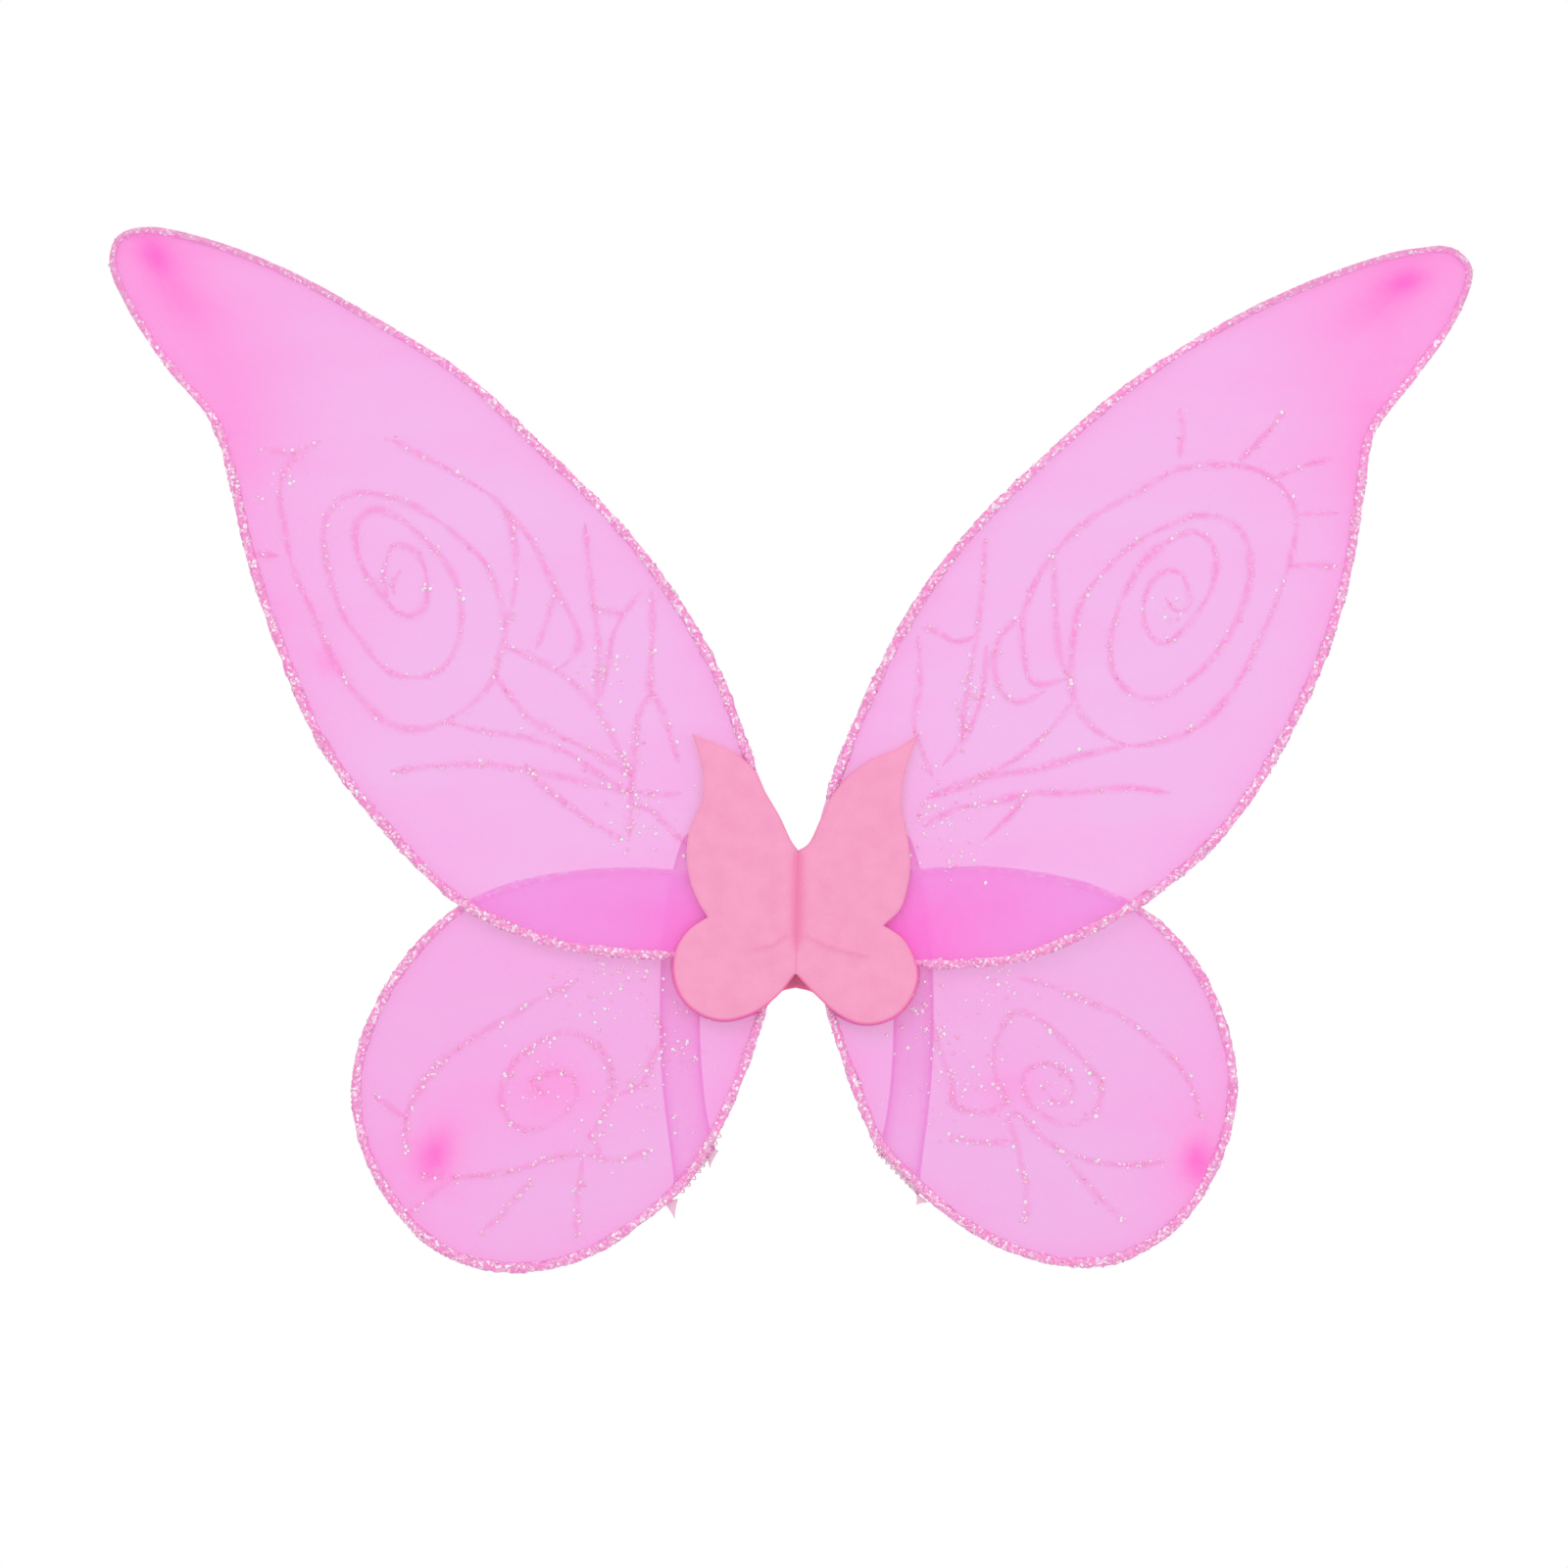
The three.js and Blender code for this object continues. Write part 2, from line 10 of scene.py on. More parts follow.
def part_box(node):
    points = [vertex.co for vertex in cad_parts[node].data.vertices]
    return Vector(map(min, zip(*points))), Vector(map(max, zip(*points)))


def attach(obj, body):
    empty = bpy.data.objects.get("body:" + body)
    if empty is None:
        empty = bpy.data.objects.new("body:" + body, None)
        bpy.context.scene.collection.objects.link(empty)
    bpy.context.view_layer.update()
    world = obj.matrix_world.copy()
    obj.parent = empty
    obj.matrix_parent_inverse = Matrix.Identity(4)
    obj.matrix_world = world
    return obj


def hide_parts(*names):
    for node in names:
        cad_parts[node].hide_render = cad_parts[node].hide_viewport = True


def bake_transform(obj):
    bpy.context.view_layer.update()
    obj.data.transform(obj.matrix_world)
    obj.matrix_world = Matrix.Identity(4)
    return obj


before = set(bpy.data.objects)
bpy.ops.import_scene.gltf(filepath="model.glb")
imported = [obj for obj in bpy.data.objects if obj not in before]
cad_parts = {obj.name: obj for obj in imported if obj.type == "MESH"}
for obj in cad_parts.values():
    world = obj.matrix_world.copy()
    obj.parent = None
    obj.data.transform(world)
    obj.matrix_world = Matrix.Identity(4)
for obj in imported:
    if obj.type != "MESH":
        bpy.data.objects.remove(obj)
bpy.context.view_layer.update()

MM = 0.001

# Stock, as in the CAD
WIRE_RADIUS = 1.0
NYLON_WRAP_RADIUS = 1.12
NYLON_HALF_GAP = 0.45
NYLON_PINCH_LENGTH = 14.0
PATCH_THICKNESS = 1.8
PAD_RISE = 0.6
STRAP_WIDTH = 15.0
STRAP_THICKNESS = 1.0
UPPER_LAYER_Y = -7.1
LOWER_LAYER_Y = -3.4
FRONT_PATCH_REAR_Y = -8.7
ROOT_X = 6.5
BOW_START_X = 45.0
BOW_END_X = 250.0
BOW_DEPTH = 10.0

# Cloth tape: the sleeves' radius, the turns of tape, and how much of the CAD box the binding fills
SLEEVE_RADIUS = 1.3
SLEEVE_TURNS = 4.0
BINDING_TURNS = 9.0
BINDING_FILL = 0.97

# Elastic: the painted shade along its edges starts this far from the middle; the pitch of its ribs and weft
STRAP_EDGE_SHADE_START = 5.0
STRAP_EDGE_SHADE_FADE = 1.8
RIB_PITCH = 1.25
WEFT_PITCH = 0.8

# Glitter glue: the bead over the wire, the drawn strokes with their cross-section, the flakes
BEAD_INNER_RADIUS = NYLON_WRAP_RADIUS + 0.06
BEAD_HEIGHT = 0.62
BEAD_HALF_WRAP_DEG = 112
BEAD_START_X = 45.4
STROKE_WIDTH = 3.6
STROKE_HEIGHT = 0.34
STROKE_ACROSS = np.array([-0.5, -0.33, -0.17, 0, 0.17, 0.33, 0.5])
STROKE_RISE = np.array([0, 0.3, 0.8, 1, 0.8, 0.3, 0])
STROKE_INK = np.array([0, 0.3, 0.85, 1, 0.85, 0.3, 0])
FLAKE_SIZE = 0.57
FLAKE_THICKNESS = 0.08
FLAKE_LEAN = 0.35

# How far apart the points of lines and areas are, and how deep the rings round an area's rim lie
LOOP_SPACING = 1.6
RIM_SPACING = 0.9
STROKE_SPACING = 1.1
NYLON_SPACING = 4.2
NYLON_RINGS = (0.12, 0.45, 1.12, 2.4, 4.5)
PATCH_EDGE_SPACING = 1.0
PATCH_SPACING = 1.15
PATCH_RINGS = (0.1, 0.35, 0.9, 1.6)

# Camera and floor
CAMERA_LENS = 100
CAMERA_PLACE_M = (-0.0047, -1.590, 0.0503)
FLOOR_RADIUS = 5000.0
FLOOR_Z = -1600.0

# Wire loops, [x, z], from the top of the root run round to the bottom of it
UPPER_LEFT_LOOP = [
    (-6.5, 16.3), (-7, 25), (-10, 40), (-17, 58), (-29, 90), (-45, 118), (-65, 144), (-92, 171),
    (-121, 198), (-154, 219), (-187, 237), (-217, 248.5), (-238, 252.5), (-247.5, 249.5), (-250, 241),
    (-243, 224), (-228, 202), (-212.5, 183), (-206, 163), (-199, 133), (-189, 103), (-172, 64),
    (-149, 34), (-122.5, 8), (-93, -6), (-64, -11), (-40, -11.5), (-17, -9), (-9, -5.5), (-6.5, 3.7),
]
UPPER_RIGHT_LOOP = [
    (6.5, 16.3), (7, 25), (9.8, 38), (14.3, 52), (22, 72), (40, 109), (62, 140), (88.5, 166.5),
    (124, 197), (164, 221.5), (204.5, 239), (225, 244.5), (239, 245), (245.5, 238.5), (240.5, 222),
    (223, 197), (209.5, 179), (205.5, 158), (200.5, 127), (191, 96), (174.5, 62), (155.5, 34),
    (134.5, 14.5), (107.5, -2), (82, -12.5), (55, -15), (38, -14), (18, -10), (9, -5.5), (6.5, 3.7),
]
LOWER_LEFT_LOOP = [
    (-6.5, 0.3), (-7, 7), (-12, 12), (-22, 15.5), (-40, 17.5), (-59, 18.5), (-83.5, 17), (-105, 12.5),
    (-123.5, 4), (-141, -13), (-154, -34), (-160.5, -56), (-159, -77), (-149.5, -98.5),
    (-133.5, -116.5), (-115.5, -124.5), (-95, -125.5), (-75.5, -120), (-56, -107.5), (-40.5, -93.5),
    (-30, -76.5), (-21.5, -58), (-12.5, -32), (-7.5, -17), (-6.5, -10.3),
]
LOWER_RIGHT_LOOP = [
    (6.5, 0.3), (7, 7), (12, 12), (23, 16), (43, 18), (67, 19), (90, 16.5), (109.5, 11.5), (128, 2),
    (144, -14.5), (155, -37), (159, -61.5), (153, -87), (139.5, -108.5), (118.5, -122), (99.5, -124),
    (79, -119), (59, -108), (41.5, -93), (30, -80), (20.5, -57), (12, -32), (7.5, -17), (6.5, -10.3),
]

# Where the lower wings' nylon is gathered, behind the upper wings
LOWER_TOP_LINE = np.array([(-78.0, 6.0), (0.0, 0.0), (78.0, 6.0)])

# Half outlines of the butterfly patch, [x, z]: inner top edge, outer edge and lower lobe
PATCH_TOP = (0.5, 26)
PATCH_LEFT_HALF = [
    [PATCH_TOP, (-2, 29.5), (-6, 38), (-11.5, 47.5), (-16, 56), (-24, 62.5), (-38, 68.5)],
    [(-38, 68.5), (-35, 58.5), (-34, 50), (-35, 43), (-38.5, 35), (-40, 26), (-39, 16), (-36, 8),
     (-32.5, 2)],
    [(-32.5, 2), (-39, -2.5), (-43.5, -9), (-45, -16), (-43.5, -24), (-39.5, -30), (-33.5, -34),
     (-26.5, -35.5), (-19, -34), (-12.5, -31), (-6, -25.5)],
]
PATCH_RIGHT_HALF = [
    [PATCH_TOP, (4.2, 28.5), (8.6, 37.5), (12.4, 45.5), (18.5, 53), (27.5, 59.5), (36, 63),
     (44.5, 68.5)],
    [(44.5, 68.5), (41, 60), (38.5, 50.5), (38, 43), (39.5, 34), (41, 24.5), (40.5, 15), (37.5, 5),
     (31.5, -1)],
    [(31.5, -1), (38, -5.5), (42, -11.5), (44, -18.5), (42, -26.5), (37, -33), (29.5, -36.5),
     (22, -36.5), (14.5, -33), (6.5, -26)],
]
FRONT_PATCH_NOTCH = (-0.5, -18.5)
BACK_PATCH_NOTCH = (-0.5, -24)
CREASE_TOP_Z = 29.0
CREASE_BOTTOM_Z = -11.0

# Lines on the front patch, [x, z]: its faint wrinkles, and the wires it shows through
FRONT_WRINKLES = {
    "left": [(-15.5, -9.5), (-9, -8.5), (-4, -5)],
    "right": [(3.5, -5), (12, -9), (25.5, -12.5)],
}
FRONT_WIRES = {
    "left": [(-44, -11.5), (-17, -9), (-9, -5.5), (-5, 2)],
    "right": [(44, -14.3), (18, -10), (9, -5.5), (5, 2)],
}
PAD_CENTRE_Z = 2.0
PAD_HALF_WIDTH = 17.0
PAD_HALF_HEIGHT = 19.0
PAD_SOFT_SHARE = 0.12

# The right arm loop's centre line, [x, y, z]; the left one is its mirror image. Its end lies behind
# the lower wing's wire and is cut along it
STRAP_ROUTE = [
    (29, 0.3, 9), (29, 0.3, 16), (29.3, 0.6, 22), (30, 3.2, 27.5), (31.5, 8.5, 31),
    (33.5, 14.5, 30.5), (36, 20, 25.5), (38.7, 24.5, 16), (41, 27.5, 3), (42.8, 29, -13),
    (43.4, 28.6, -31), (43.2, 25.5, -47), (42.2, 20, -60), (40.8, 13, -70.5), (39.3, 6.2, -78),
    (38.1, 1.2, -83.5), (37.5, -1.2, -86.8), (37.2, -1.55, -89), (37, -1.55, -92),
]
STRAP_END_X = 37.0
STRAP_END_Z = -92.0
STRAP_END_SLOPE = -1.06
STRAP_SLANTED_LENGTH = 26.0

# Where the corners of the arm loops' folded ends stand out past the rims: from [x, z] to [x, z]
STRAP_CORNERS = {
    "left": [((-31.2, -83), (-31.8, -89.5)), ((-46, -101.5), (-44.6, -108))],
    "right": [((31.8, -83), (29.6, -85.5)), ((45.6, -100.5), (43.6, -103))],
}
CORNER_HALF_WIDTH = 2.6
CORNER_HALF_DEPTH = 0.6
UPPER_TACK = (29, 12.5)
TACK_WIDTH = 11.0
TACK_LENGTH = 6.0

# Stitches: their pitch, and how far along and how far out a thread runs over one of them
STITCH_PITCH = 2.1
STITCH_SHARES = np.array([0.1, 0.3, 0.5, 0.7, 0.9])
STITCH_RISE = np.array([-0.12, 0.24, 0.34, 0.24, -0.12])
WHIP_STITCHES = 9
WHIP_RADIUS = 2.3
WHIP_DEPTH = 2.35
WHIP_INSET = 0.6
WHIP_REAR_SHIFT = 0.45
WHIP_LEAN = 0.7
THREAD_RADIUS = 0.24


# ---------------------------------------------------------------- lines and areas

def smooth_line(points, spacing):
    """Evenly spaced points on the centripetal Catmull-Rom curve through the given ones."""
    p = np.array(points, float)
    p = np.vstack([2 * p[0] - p[1], p, 2 * p[-1] - p[-2]])
    t = np.linspace(0, 1, 24, endpoint=False)[:, None]
    parts = []
    for a, b, c, d in zip(p[:-3], p[1:-2], p[2:-1], p[3:]):
        before, here, after = (math.sqrt(np.linalg.norm(v)) for v in (b - a, c - b, d - c))
        start = ((b - a) / before - (c - a) / (before + here) + (c - b) / here) * here
        end = ((c - b) / here - (d - b) / (here + after) + (d - c) / after) * here
        rise = c - b
        square, cube = 3 * rise - 2 * start - end, start + end - 2 * rise
        parts.append(b + start * t + square * t**2 + cube * t**3)
    return even(np.vstack(parts + [p[-2:-1]]), spacing)


def even(line, spacing):
    """The same line with evenly spaced points."""
    reach = np.concatenate([[0], np.cumsum(np.linalg.norm(np.diff(line, axis=0), axis=1))])
    steps = max(2, round(reach[-1] / spacing))
    at = np.linspace(0, reach[-1], steps + 1)
    return np.stack([np.interp(at, reach, axis) for axis in line.T], axis=1)


def closed_loop(points, spacing):
    """A wire loop as a closed line: the bent part and the straight root run."""
    bent = smooth_line(points, spacing)
    root = even(np.array([bent[-1], bent[0]]), spacing)
    return np.vstack([bent, root[1:-1]])


def unit(vectors):
    return vectors / np.linalg.norm(vectors, axis=-1, keepdims=True)


def full_turn(count):
    """Evenly spaced angles round a circle."""
    return np.linspace(0, 2 * math.pi, count, endpoint=False)


def turn_normals(outline):
    """Unit normals of a closed [x, z] line, pointing out of it."""
    along = unit(np.roll(outline, -1, axis=0) - np.roll(outline, 1, axis=0))
    x, z = outline.T
    area = np.sum(x * np.roll(z, -1) - np.roll(x, -1) * z)
    return np.stack([along[:, 1], -along[:, 0]], axis=1) * np.sign(area)


def distance_to(points, line):
    """The distance from each [x, z] point to the closest place on a line."""
    a, b = line[:-1], line[1:]
    step = b - a
    share = ((points[:, None] - a) * step).sum(-1) / np.maximum((step * step).sum(-1), 1e-12)
    nearest = a + np.clip(share, 0, 1)[..., None] * step
    return np.linalg.norm(points[:, None] - nearest, axis=-1).min(1)


def inside(points, outline):
    """Whether each [x, z] point lies inside a closed line."""
    x, z = points[:, :1], points[:, 1:]
    ax, az = outline.T
    bx, bz = np.roll(outline, -1, axis=0).T
    crosses = (az > z) != (bz > z)
    run = np.where(bz == az, 1e-9, bz - az)
    return (crosses & (x < ax + (z - az) * (bx - ax) / run)).sum(1) % 2 == 1


class Area:
    """A flat region cut into triangles: its points [x, z], their depth from the rim, its faces."""

    def __init__(self, outline, ring_depths, spacing):
        rings = [outline - turn_normals(outline) * depth for depth in ring_depths]
        low, high = outline.min(0), outline.max(0)
        rows = np.arange(low[1], high[1], spacing * 0.866)
        columns = np.arange(low[0], high[0], spacing)
        grid = [(x + (row % 2) * spacing / 2, z) for row, z in enumerate(rows) for x in columns]
        grid = np.array(grid)
        grid = grid[inside(grid, outline)]
        grid = grid[distance_to(grid, closed(outline)) > ring_depths[-1] + spacing * 0.6]
        points = np.vstack([outline, *rings, grid])
        count = len(outline)
        edges = [(i, (i + 1) % count) for i in range(count)]
        made = delaunay_2d_cdt([Vector(point) for point in points], edges, [], 1, 1e-5)
        self.points = np.array([tuple(point) for point in made[0]])
        self.faces = np.array(made[2])
        self.depth = distance_to(self.points, closed(outline))
        self.on_rim = self.depth < 1e-3
        self.size = np.ptp(outline, axis=0)
        x, z = outline.T
        self.area = abs(np.sum(x * np.roll(z, -1) - np.roll(x, -1) * z)) / 2


def closed(outline):
    return np.vstack([outline, outline[:1]])


def bow(x):
    """How far the wing surface stands towards the wearer at x."""
    share = np.clip((np.abs(x) - BOW_START_X) / (BOW_END_X - BOW_START_X), 0, None)
    return BOW_DEPTH * share**2


def falloff(distance, length):
    return np.exp(-distance / length)


def slope(value, start, width):
    """0 up to the start, 1 from a width beyond it, and a straight slope between them."""
    return np.clip((value - start) / width, 0, 1)


def taper(count, reach):
    """Rises from 0 to 1 over the first points of a line and falls back over its last ones."""
    return slope(np.minimum(np.arange(count), np.arange(count)[::-1]), 0, reach)


def drift_noise(rng, count, step):
    """Smooth random values about 0, one per point, that change over `step` points."""
    knots = rng.normal(size=count // step + 3)
    return np.interp(np.arange(count) / step, np.arange(len(knots)), knots)


# ---------------------------------------------------------------- meshes

class Build:
    """Gathers the vertices, faces and point values of one piece, and makes its mesh."""

    def __init__(self):
        self.vertices, self.faces, self.values, self.slots = [], [], {}, []
        self.count = 0

    def add(self, vertices, faces, slot=0, **values):
        vertices = np.asarray(vertices, float).reshape(-1, 3)
        self.vertices.append(vertices)
        self.faces += [[corner + self.count for corner in face] for face in faces]
        self.slots += [slot] * len(faces)
        for name in sorted(set(self.values) | set(values)):
            kept = self.values.setdefault(name, [np.zeros(self.count)])
            new = np.broadcast_to(np.asarray(values.get(name, 0.0), float), (len(vertices),))
            kept.append(new)
        self.count += len(vertices)

    def make(self, name, *materials):
        mesh = bpy.data.meshes.new(name)
        mesh.from_pydata([tuple(v) for v in np.vstack(self.vertices) * MM], [], self.faces)
        for material in materials:
            mesh.materials.append(material)
        mesh.polygons.foreach_set("material_index", self.slots)
        mesh.polygons.foreach_set("use_smooth", [True] * len(mesh.polygons))
        for key, parts in self.values.items():
            attribute = mesh.attributes.new(key, "FLOAT", "POINT")
            attribute.data.foreach_set("value", np.concatenate(parts).astype(np.float32))
        mesh.update()
        piece = bpy.data.objects.new(name, mesh)
        bpy.context.scene.collection.objects.link(piece)
        return piece


def line_frames(line, across_hint, loop=False):
    """The unit vectors across and outwards at each point of a 3-D line."""
    if loop:
        along = unit(np.roll(line, -1, axis=0) - np.roll(line, 1, axis=0))
    else:
        along = unit(np.gradient(line, axis=0))
    hint = across_hint(along)
    across = unit(hint - (hint * along).sum(1)[:, None] * along)
    return across, np.cross(across, along)


def belong(piece, body, node):
    """Says which body the piece rides and which CAD node it replaces."""
    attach(piece, body)
    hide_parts(node)


def sweep(line, sections, across_hint, loop=False):
    """Carries closed sections of [across, outwards] points along a 3-D line: vertices and faces."""
    across, outwards = line_frames(line, across_hint, loop)
    sections = np.broadcast_to(sections, (len(line),) + np.shape(sections)[-2:])
    rings = (
        line[:, None]
        + sections[..., :1] * across[:, None]
        + sections[..., 1:] * outwards[:, None]
    )
    count, sides = rings.shape[:2]
    faces = []
    for ring in range(count if loop else count - 1):
        following = (ring + 1) % count
        for side in range(sides):
            corner = (side + 1) % sides
            faces.append([ring * sides + side, ring * sides + corner,
                          following * sides + corner, following * sides + side])
    if not loop:
        faces.append(list(range(sides))[::-1])
        faces.append([(count - 1) * sides + side for side in range(sides)])
    return rings.reshape(-1, 3), faces


def across_wing(along):
    return np.cross(along, (0.0, -1.0, 0.0))


def across_x(along):
    return np.broadcast_to((1.0, 0.0, 0.0), along.shape)


def round_section(radius, sides):
    angles = full_turn(sides)
    return np.stack([radius * np.cos(angles), radius * np.sin(angles)], axis=1)


def on_layer(points, y):
    """[x, z] points as a 3-D line on a wing at depth y."""
    return np.stack([points[:, 0], y + bow(points[:, 0]), points[:, 1]], axis=1)


def plate(area, front, back, square=None, **values):
    """A closed sheet over an area, from its front to its back depth; the two faces meet at the rim,
    half way between them, or at the front where the rim is square."""
    build = Build()
    x, z = area.points.T
    rounded_rim = area.on_rim if square is None else area.on_rim & ~square
    front = np.where(rounded_rim, (front + back) / 2, front)
    inner = np.flatnonzero(~area.on_rim)
    rear_index = np.arange(len(x))
    rear_index[inner] = len(x) + np.arange(len(inner))
    vertices = np.vstack([
        np.stack([x, front, z], axis=1),
        np.stack([x[inner], back[inner], z[inner]], axis=1),
    ])
    faces = area.faces.tolist() + rear_index[area.faces[:, ::-1]].tolist()
    both = {key: np.concatenate([value, value[inner]]) for key, value in values.items()}
    build.add(vertices, faces, **both)
    return build


# ---------------------------------------------------------------- materials

def colour(red, green, blue):
    """An sRGB colour in bytes as linear RGBA."""
    linear = [c / 12.92 if c <= 0.04045 else ((c + 0.055) / 1.055) ** 2.4
              for c in (red / 255, green / 255, blue / 255)]
    return (*linear, 1.0)


class Shader:
    """One node material, with a short call for each kind of node used here."""

    def __init__(self, name, **uniform):
        self.material = bpy.data.materials.new(name)
        self.material.use_nodes = True
        self.nodes = self.material.node_tree.nodes
        self.links = self.material.node_tree.links
        self.surface = self.nodes["Principled BSDF"]
        self.place = self.nodes.new("ShaderNodeTexCoord").outputs["Object"]
        for key, value in uniform.items():
            socket = key.replace("_", " ").title().replace("Ior", "IOR")
            self.surface.inputs[socket].default_value = value

    def feed(self, socket, value):
        if isinstance(value, bpy.types.NodeSocket):
            self.links.new(value, socket)
        else:
            socket.default_value = value

    def node(self, kind, inputs, **settings):
        node = self.nodes.new(kind)
        for key, value in settings.items():
            setattr(node, key, value)
        for key, value in inputs.items():
            self.feed(node.inputs[key], value)
        return node

    def calc(self, operation, a, b=0.0, clamp=False):
        inputs = {0: a, 1: b}
        return self.node("ShaderNodeMath", inputs, operation=operation, use_clamp=clamp).outputs[0]

    def plus(self, a, b, clamp=False):
        return self.calc("ADD", a, b, clamp)

    def minus(self, a, b, clamp=False):
        return self.calc("SUBTRACT", a, b, clamp)

    def times(self, a, b):
        return self.calc("MULTIPLY", a, b)

    def vector(self, operation, a, b=(0, 0, 0)):
        return self.node("ShaderNodeVectorMath", {0: a, 1: b}, operation=operation).outputs[0]

    def length(self, a):
        return self.node("ShaderNodeVectorMath", {0: a}, operation="LENGTH").outputs["Value"]

    def value(self, name):
        return self.node("ShaderNodeAttribute", {}, attribute_name=name).outputs["Fac"]

    def mapped(self, vector, rotation, scale):
        node = self.node("ShaderNodeMapping", {"Vector": vector})
        node.inputs["Rotation"].default_value = rotation
        node.inputs["Scale"].default_value = scale
        return node.outputs[0]

    def noise(self, vector, scale, detail=3.0):
        inputs = {"Vector": vector, "Scale": scale, "Detail": detail}
        return self.node("ShaderNodeTexNoise", inputs).outputs["Fac"]

    def cells(self, vector, scale):
        return self.node("ShaderNodeTexVoronoi", {"Vector": vector, "Scale": scale})

    def ramp(self, factor, stops):
        node = self.node("ShaderNodeValToRGB", {"Fac": factor})
        elements = node.color_ramp.elements
        while len(elements) < len(stops):
            elements.new(0.5)
        for element, (position, value) in zip(elements, stops):
            element.position = position
            element.color = colour(*value) if isinstance(value, tuple) else (value, value, value, 1)
        return node.outputs[0]

    def mix(self, factor, a, b, blend="MIX"):
        inputs = {0: factor, 6: a, 7: b}
        return self.node("ShaderNodeMix", inputs, data_type="RGBA", blend_type=blend).outputs[2]

    def bump(self, height, strength, distance):
        inputs = {"Height": height, "Strength": strength, "Distance": distance}
        return self.node("ShaderNodeBump", inputs).outputs[0]

    def finish(self, base, normal=None, **linked):
        self.feed(self.surface.inputs["Base Color"], base)
        if normal is not None:
            self.feed(self.surface.inputs["Normal"], normal)
        for key, value in linked.items():
            self.feed(self.surface.inputs[key.title()], value)
        return self.material


def gathered(shader, spot):
    """How dense the nylon is round a gather: a long core with faint pleats, fading outwards. The spots
    beside the patch use it as painted shade.
    """
    x, z, tilt, length, width, strength = spot
    local = shader.node("ShaderNodeMapping", {
        "Vector": shader.place, "Location": (x * MM, 0, z * MM), "Rotation": (0, -math.radians(tilt), 0),
        "Scale": (length * MM, 1, width * MM),
    }, vector_type="TEXTURE").outputs[0]
    local = shader.vector("MULTIPLY", local, (1, 0, 1))
    radius = shader.length(local)
    pleats = shader.noise(shader.vector("NORMALIZE", local), 3.5, 2.0)
    squared = shader.times(radius, radius)
    core = shader.calc("POWER", math.e, shader.times(squared, -1.0))
    around = shader.calc("POWER", math.e, shader.times(radius, -0.32))
    pleats = shader.plus(shader.times(pleats, 0.4), 0.2)
    pleated = shader.times(around, pleats)
    total = shader.plus(shader.times(core, 0.55), pleated)
    return shader.times(total, strength)


def nylon_material(name, spots, lean, deep):
    shader = Shader(name, roughness=0.55, specular_ior_level=0.25,
                    sheen_weight=0.15, sheen_roughness=0.4)
    density = shader.value("nylon_density")
    for spot in spots:
        density = shader.plus(density, gathered(shader, spot))
    runs = shader.noise(shader.mapped(shader.place, (0, lean, 0), (9, 9, 60)), 1.0, 3.0)
    clouds = shader.noise(shader.place, 22.0, 2.0)
    for pattern, strength in ((runs, 0.2), (clouds, 0.16)):
        change = shader.times(shader.minus(pattern, 0.5), strength)
        density = shader.plus(density, change)
    base = shader.ramp(density, [
        (0.0, (237, 146, 228)), (0.4, (249, 125, 217)), (1.0, (254, 90, 204)),
    ])
    # Painted shade: where the nylon is thin, wings with deep above 0 are mixed towards a deeper pink
    sparse = shader.minus(1.0, shader.times(density, 3.0), True)
    base = shader.mix(shader.times(sparse, deep), base, colour(206, 70, 186))
    knit = shader.mapped(shader.place, (0, lean + math.pi / 4, 0), (1, 1, 1))
    rib = shader.node("ShaderNodeTexWave", {"Vector": knit, "Scale": 640.0, "Distortion": 1.5})
    loops = shader.times(shader.minus(rib.outputs["Fac"], 0.5), 0.03)
    cover = shader.ramp(density, [(0.0, 0.47), (0.5, 0.62), (1.0, 0.78)])
    cover = shader.plus(cover, loops, True)
    return shader.finish(base, alpha=cover)


def glue_colours(shader, scale):
    """Cells of glitter, and a random value for each one."""
    cells = shader.cells(shader.place, scale)
    pick = shader.node("ShaderNodeSeparateColor", {"Color": cells.outputs["Color"]}).outputs[0]
    return cells, pick


def rim_glue_material():
    """Pink glue packed with flakes: each cell of the pattern is a flake with its own tint."""
    shader = Shader("rim_glitter_glue", roughness=0.32, coat_weight=0.35, coat_roughness=0.15)
    cells, pick = glue_colours(shader, 1050.0)
    packed = shader.ramp(pick, [
        (0.0, (248, 134, 206)), (0.35, (252, 144, 212)), (0.6, (248, 162, 216)),
        (0.8, (248, 188, 230)), (0.92, (255, 222, 242)), (0.98, (255, 248, 253)),
    ])
    smooth = shader.ramp(shader.noise(shader.place, 90.0, 2.0), [
        (0.3, (253, 158, 218)), (0.7, (255, 184, 230)),
    ])
    glitter = shader.value("glitter")
    base = shader.mix(glitter, smooth, packed)
    height = shader.plus(shader.times(pick, 0.7), cells.outputs["Distance"])
    height = shader.times(height, glitter)
    cover = shader.plus(shader.times(glitter, 0.5), 0.5, True)
    return shader.finish(base, shader.bump(height, 0.5, 0.0004), alpha=cover)


def stroke_glue_material():
    """Thin clear pink glue, drawn by hand: dense in the middle of the line, with gaps."""
    shader = Shader("swirl_glitter_glue", roughness=0.4, coat_weight=0.15, coat_roughness=0.25)
    cells, pick = glue_colours(shader, 800.0)
    base = shader.ramp(pick, [
        (0.0, (250, 118, 206)), (0.7, (252, 132, 210)), (0.9, (253, 172, 224)),
    ])
    patchy = shader.ramp(shader.noise(shader.place, 110.0, 3.0), [(0.32, 0.4), (0.66, 1.0)])
    cover = shader.times(shader.value("middle"), patchy)
    cover = shader.times(cover, 0.5)
    bump = shader.bump(cells.outputs["Distance"], 0.2, 0.0002)
    return shader.finish(base, bump, alpha=cover)


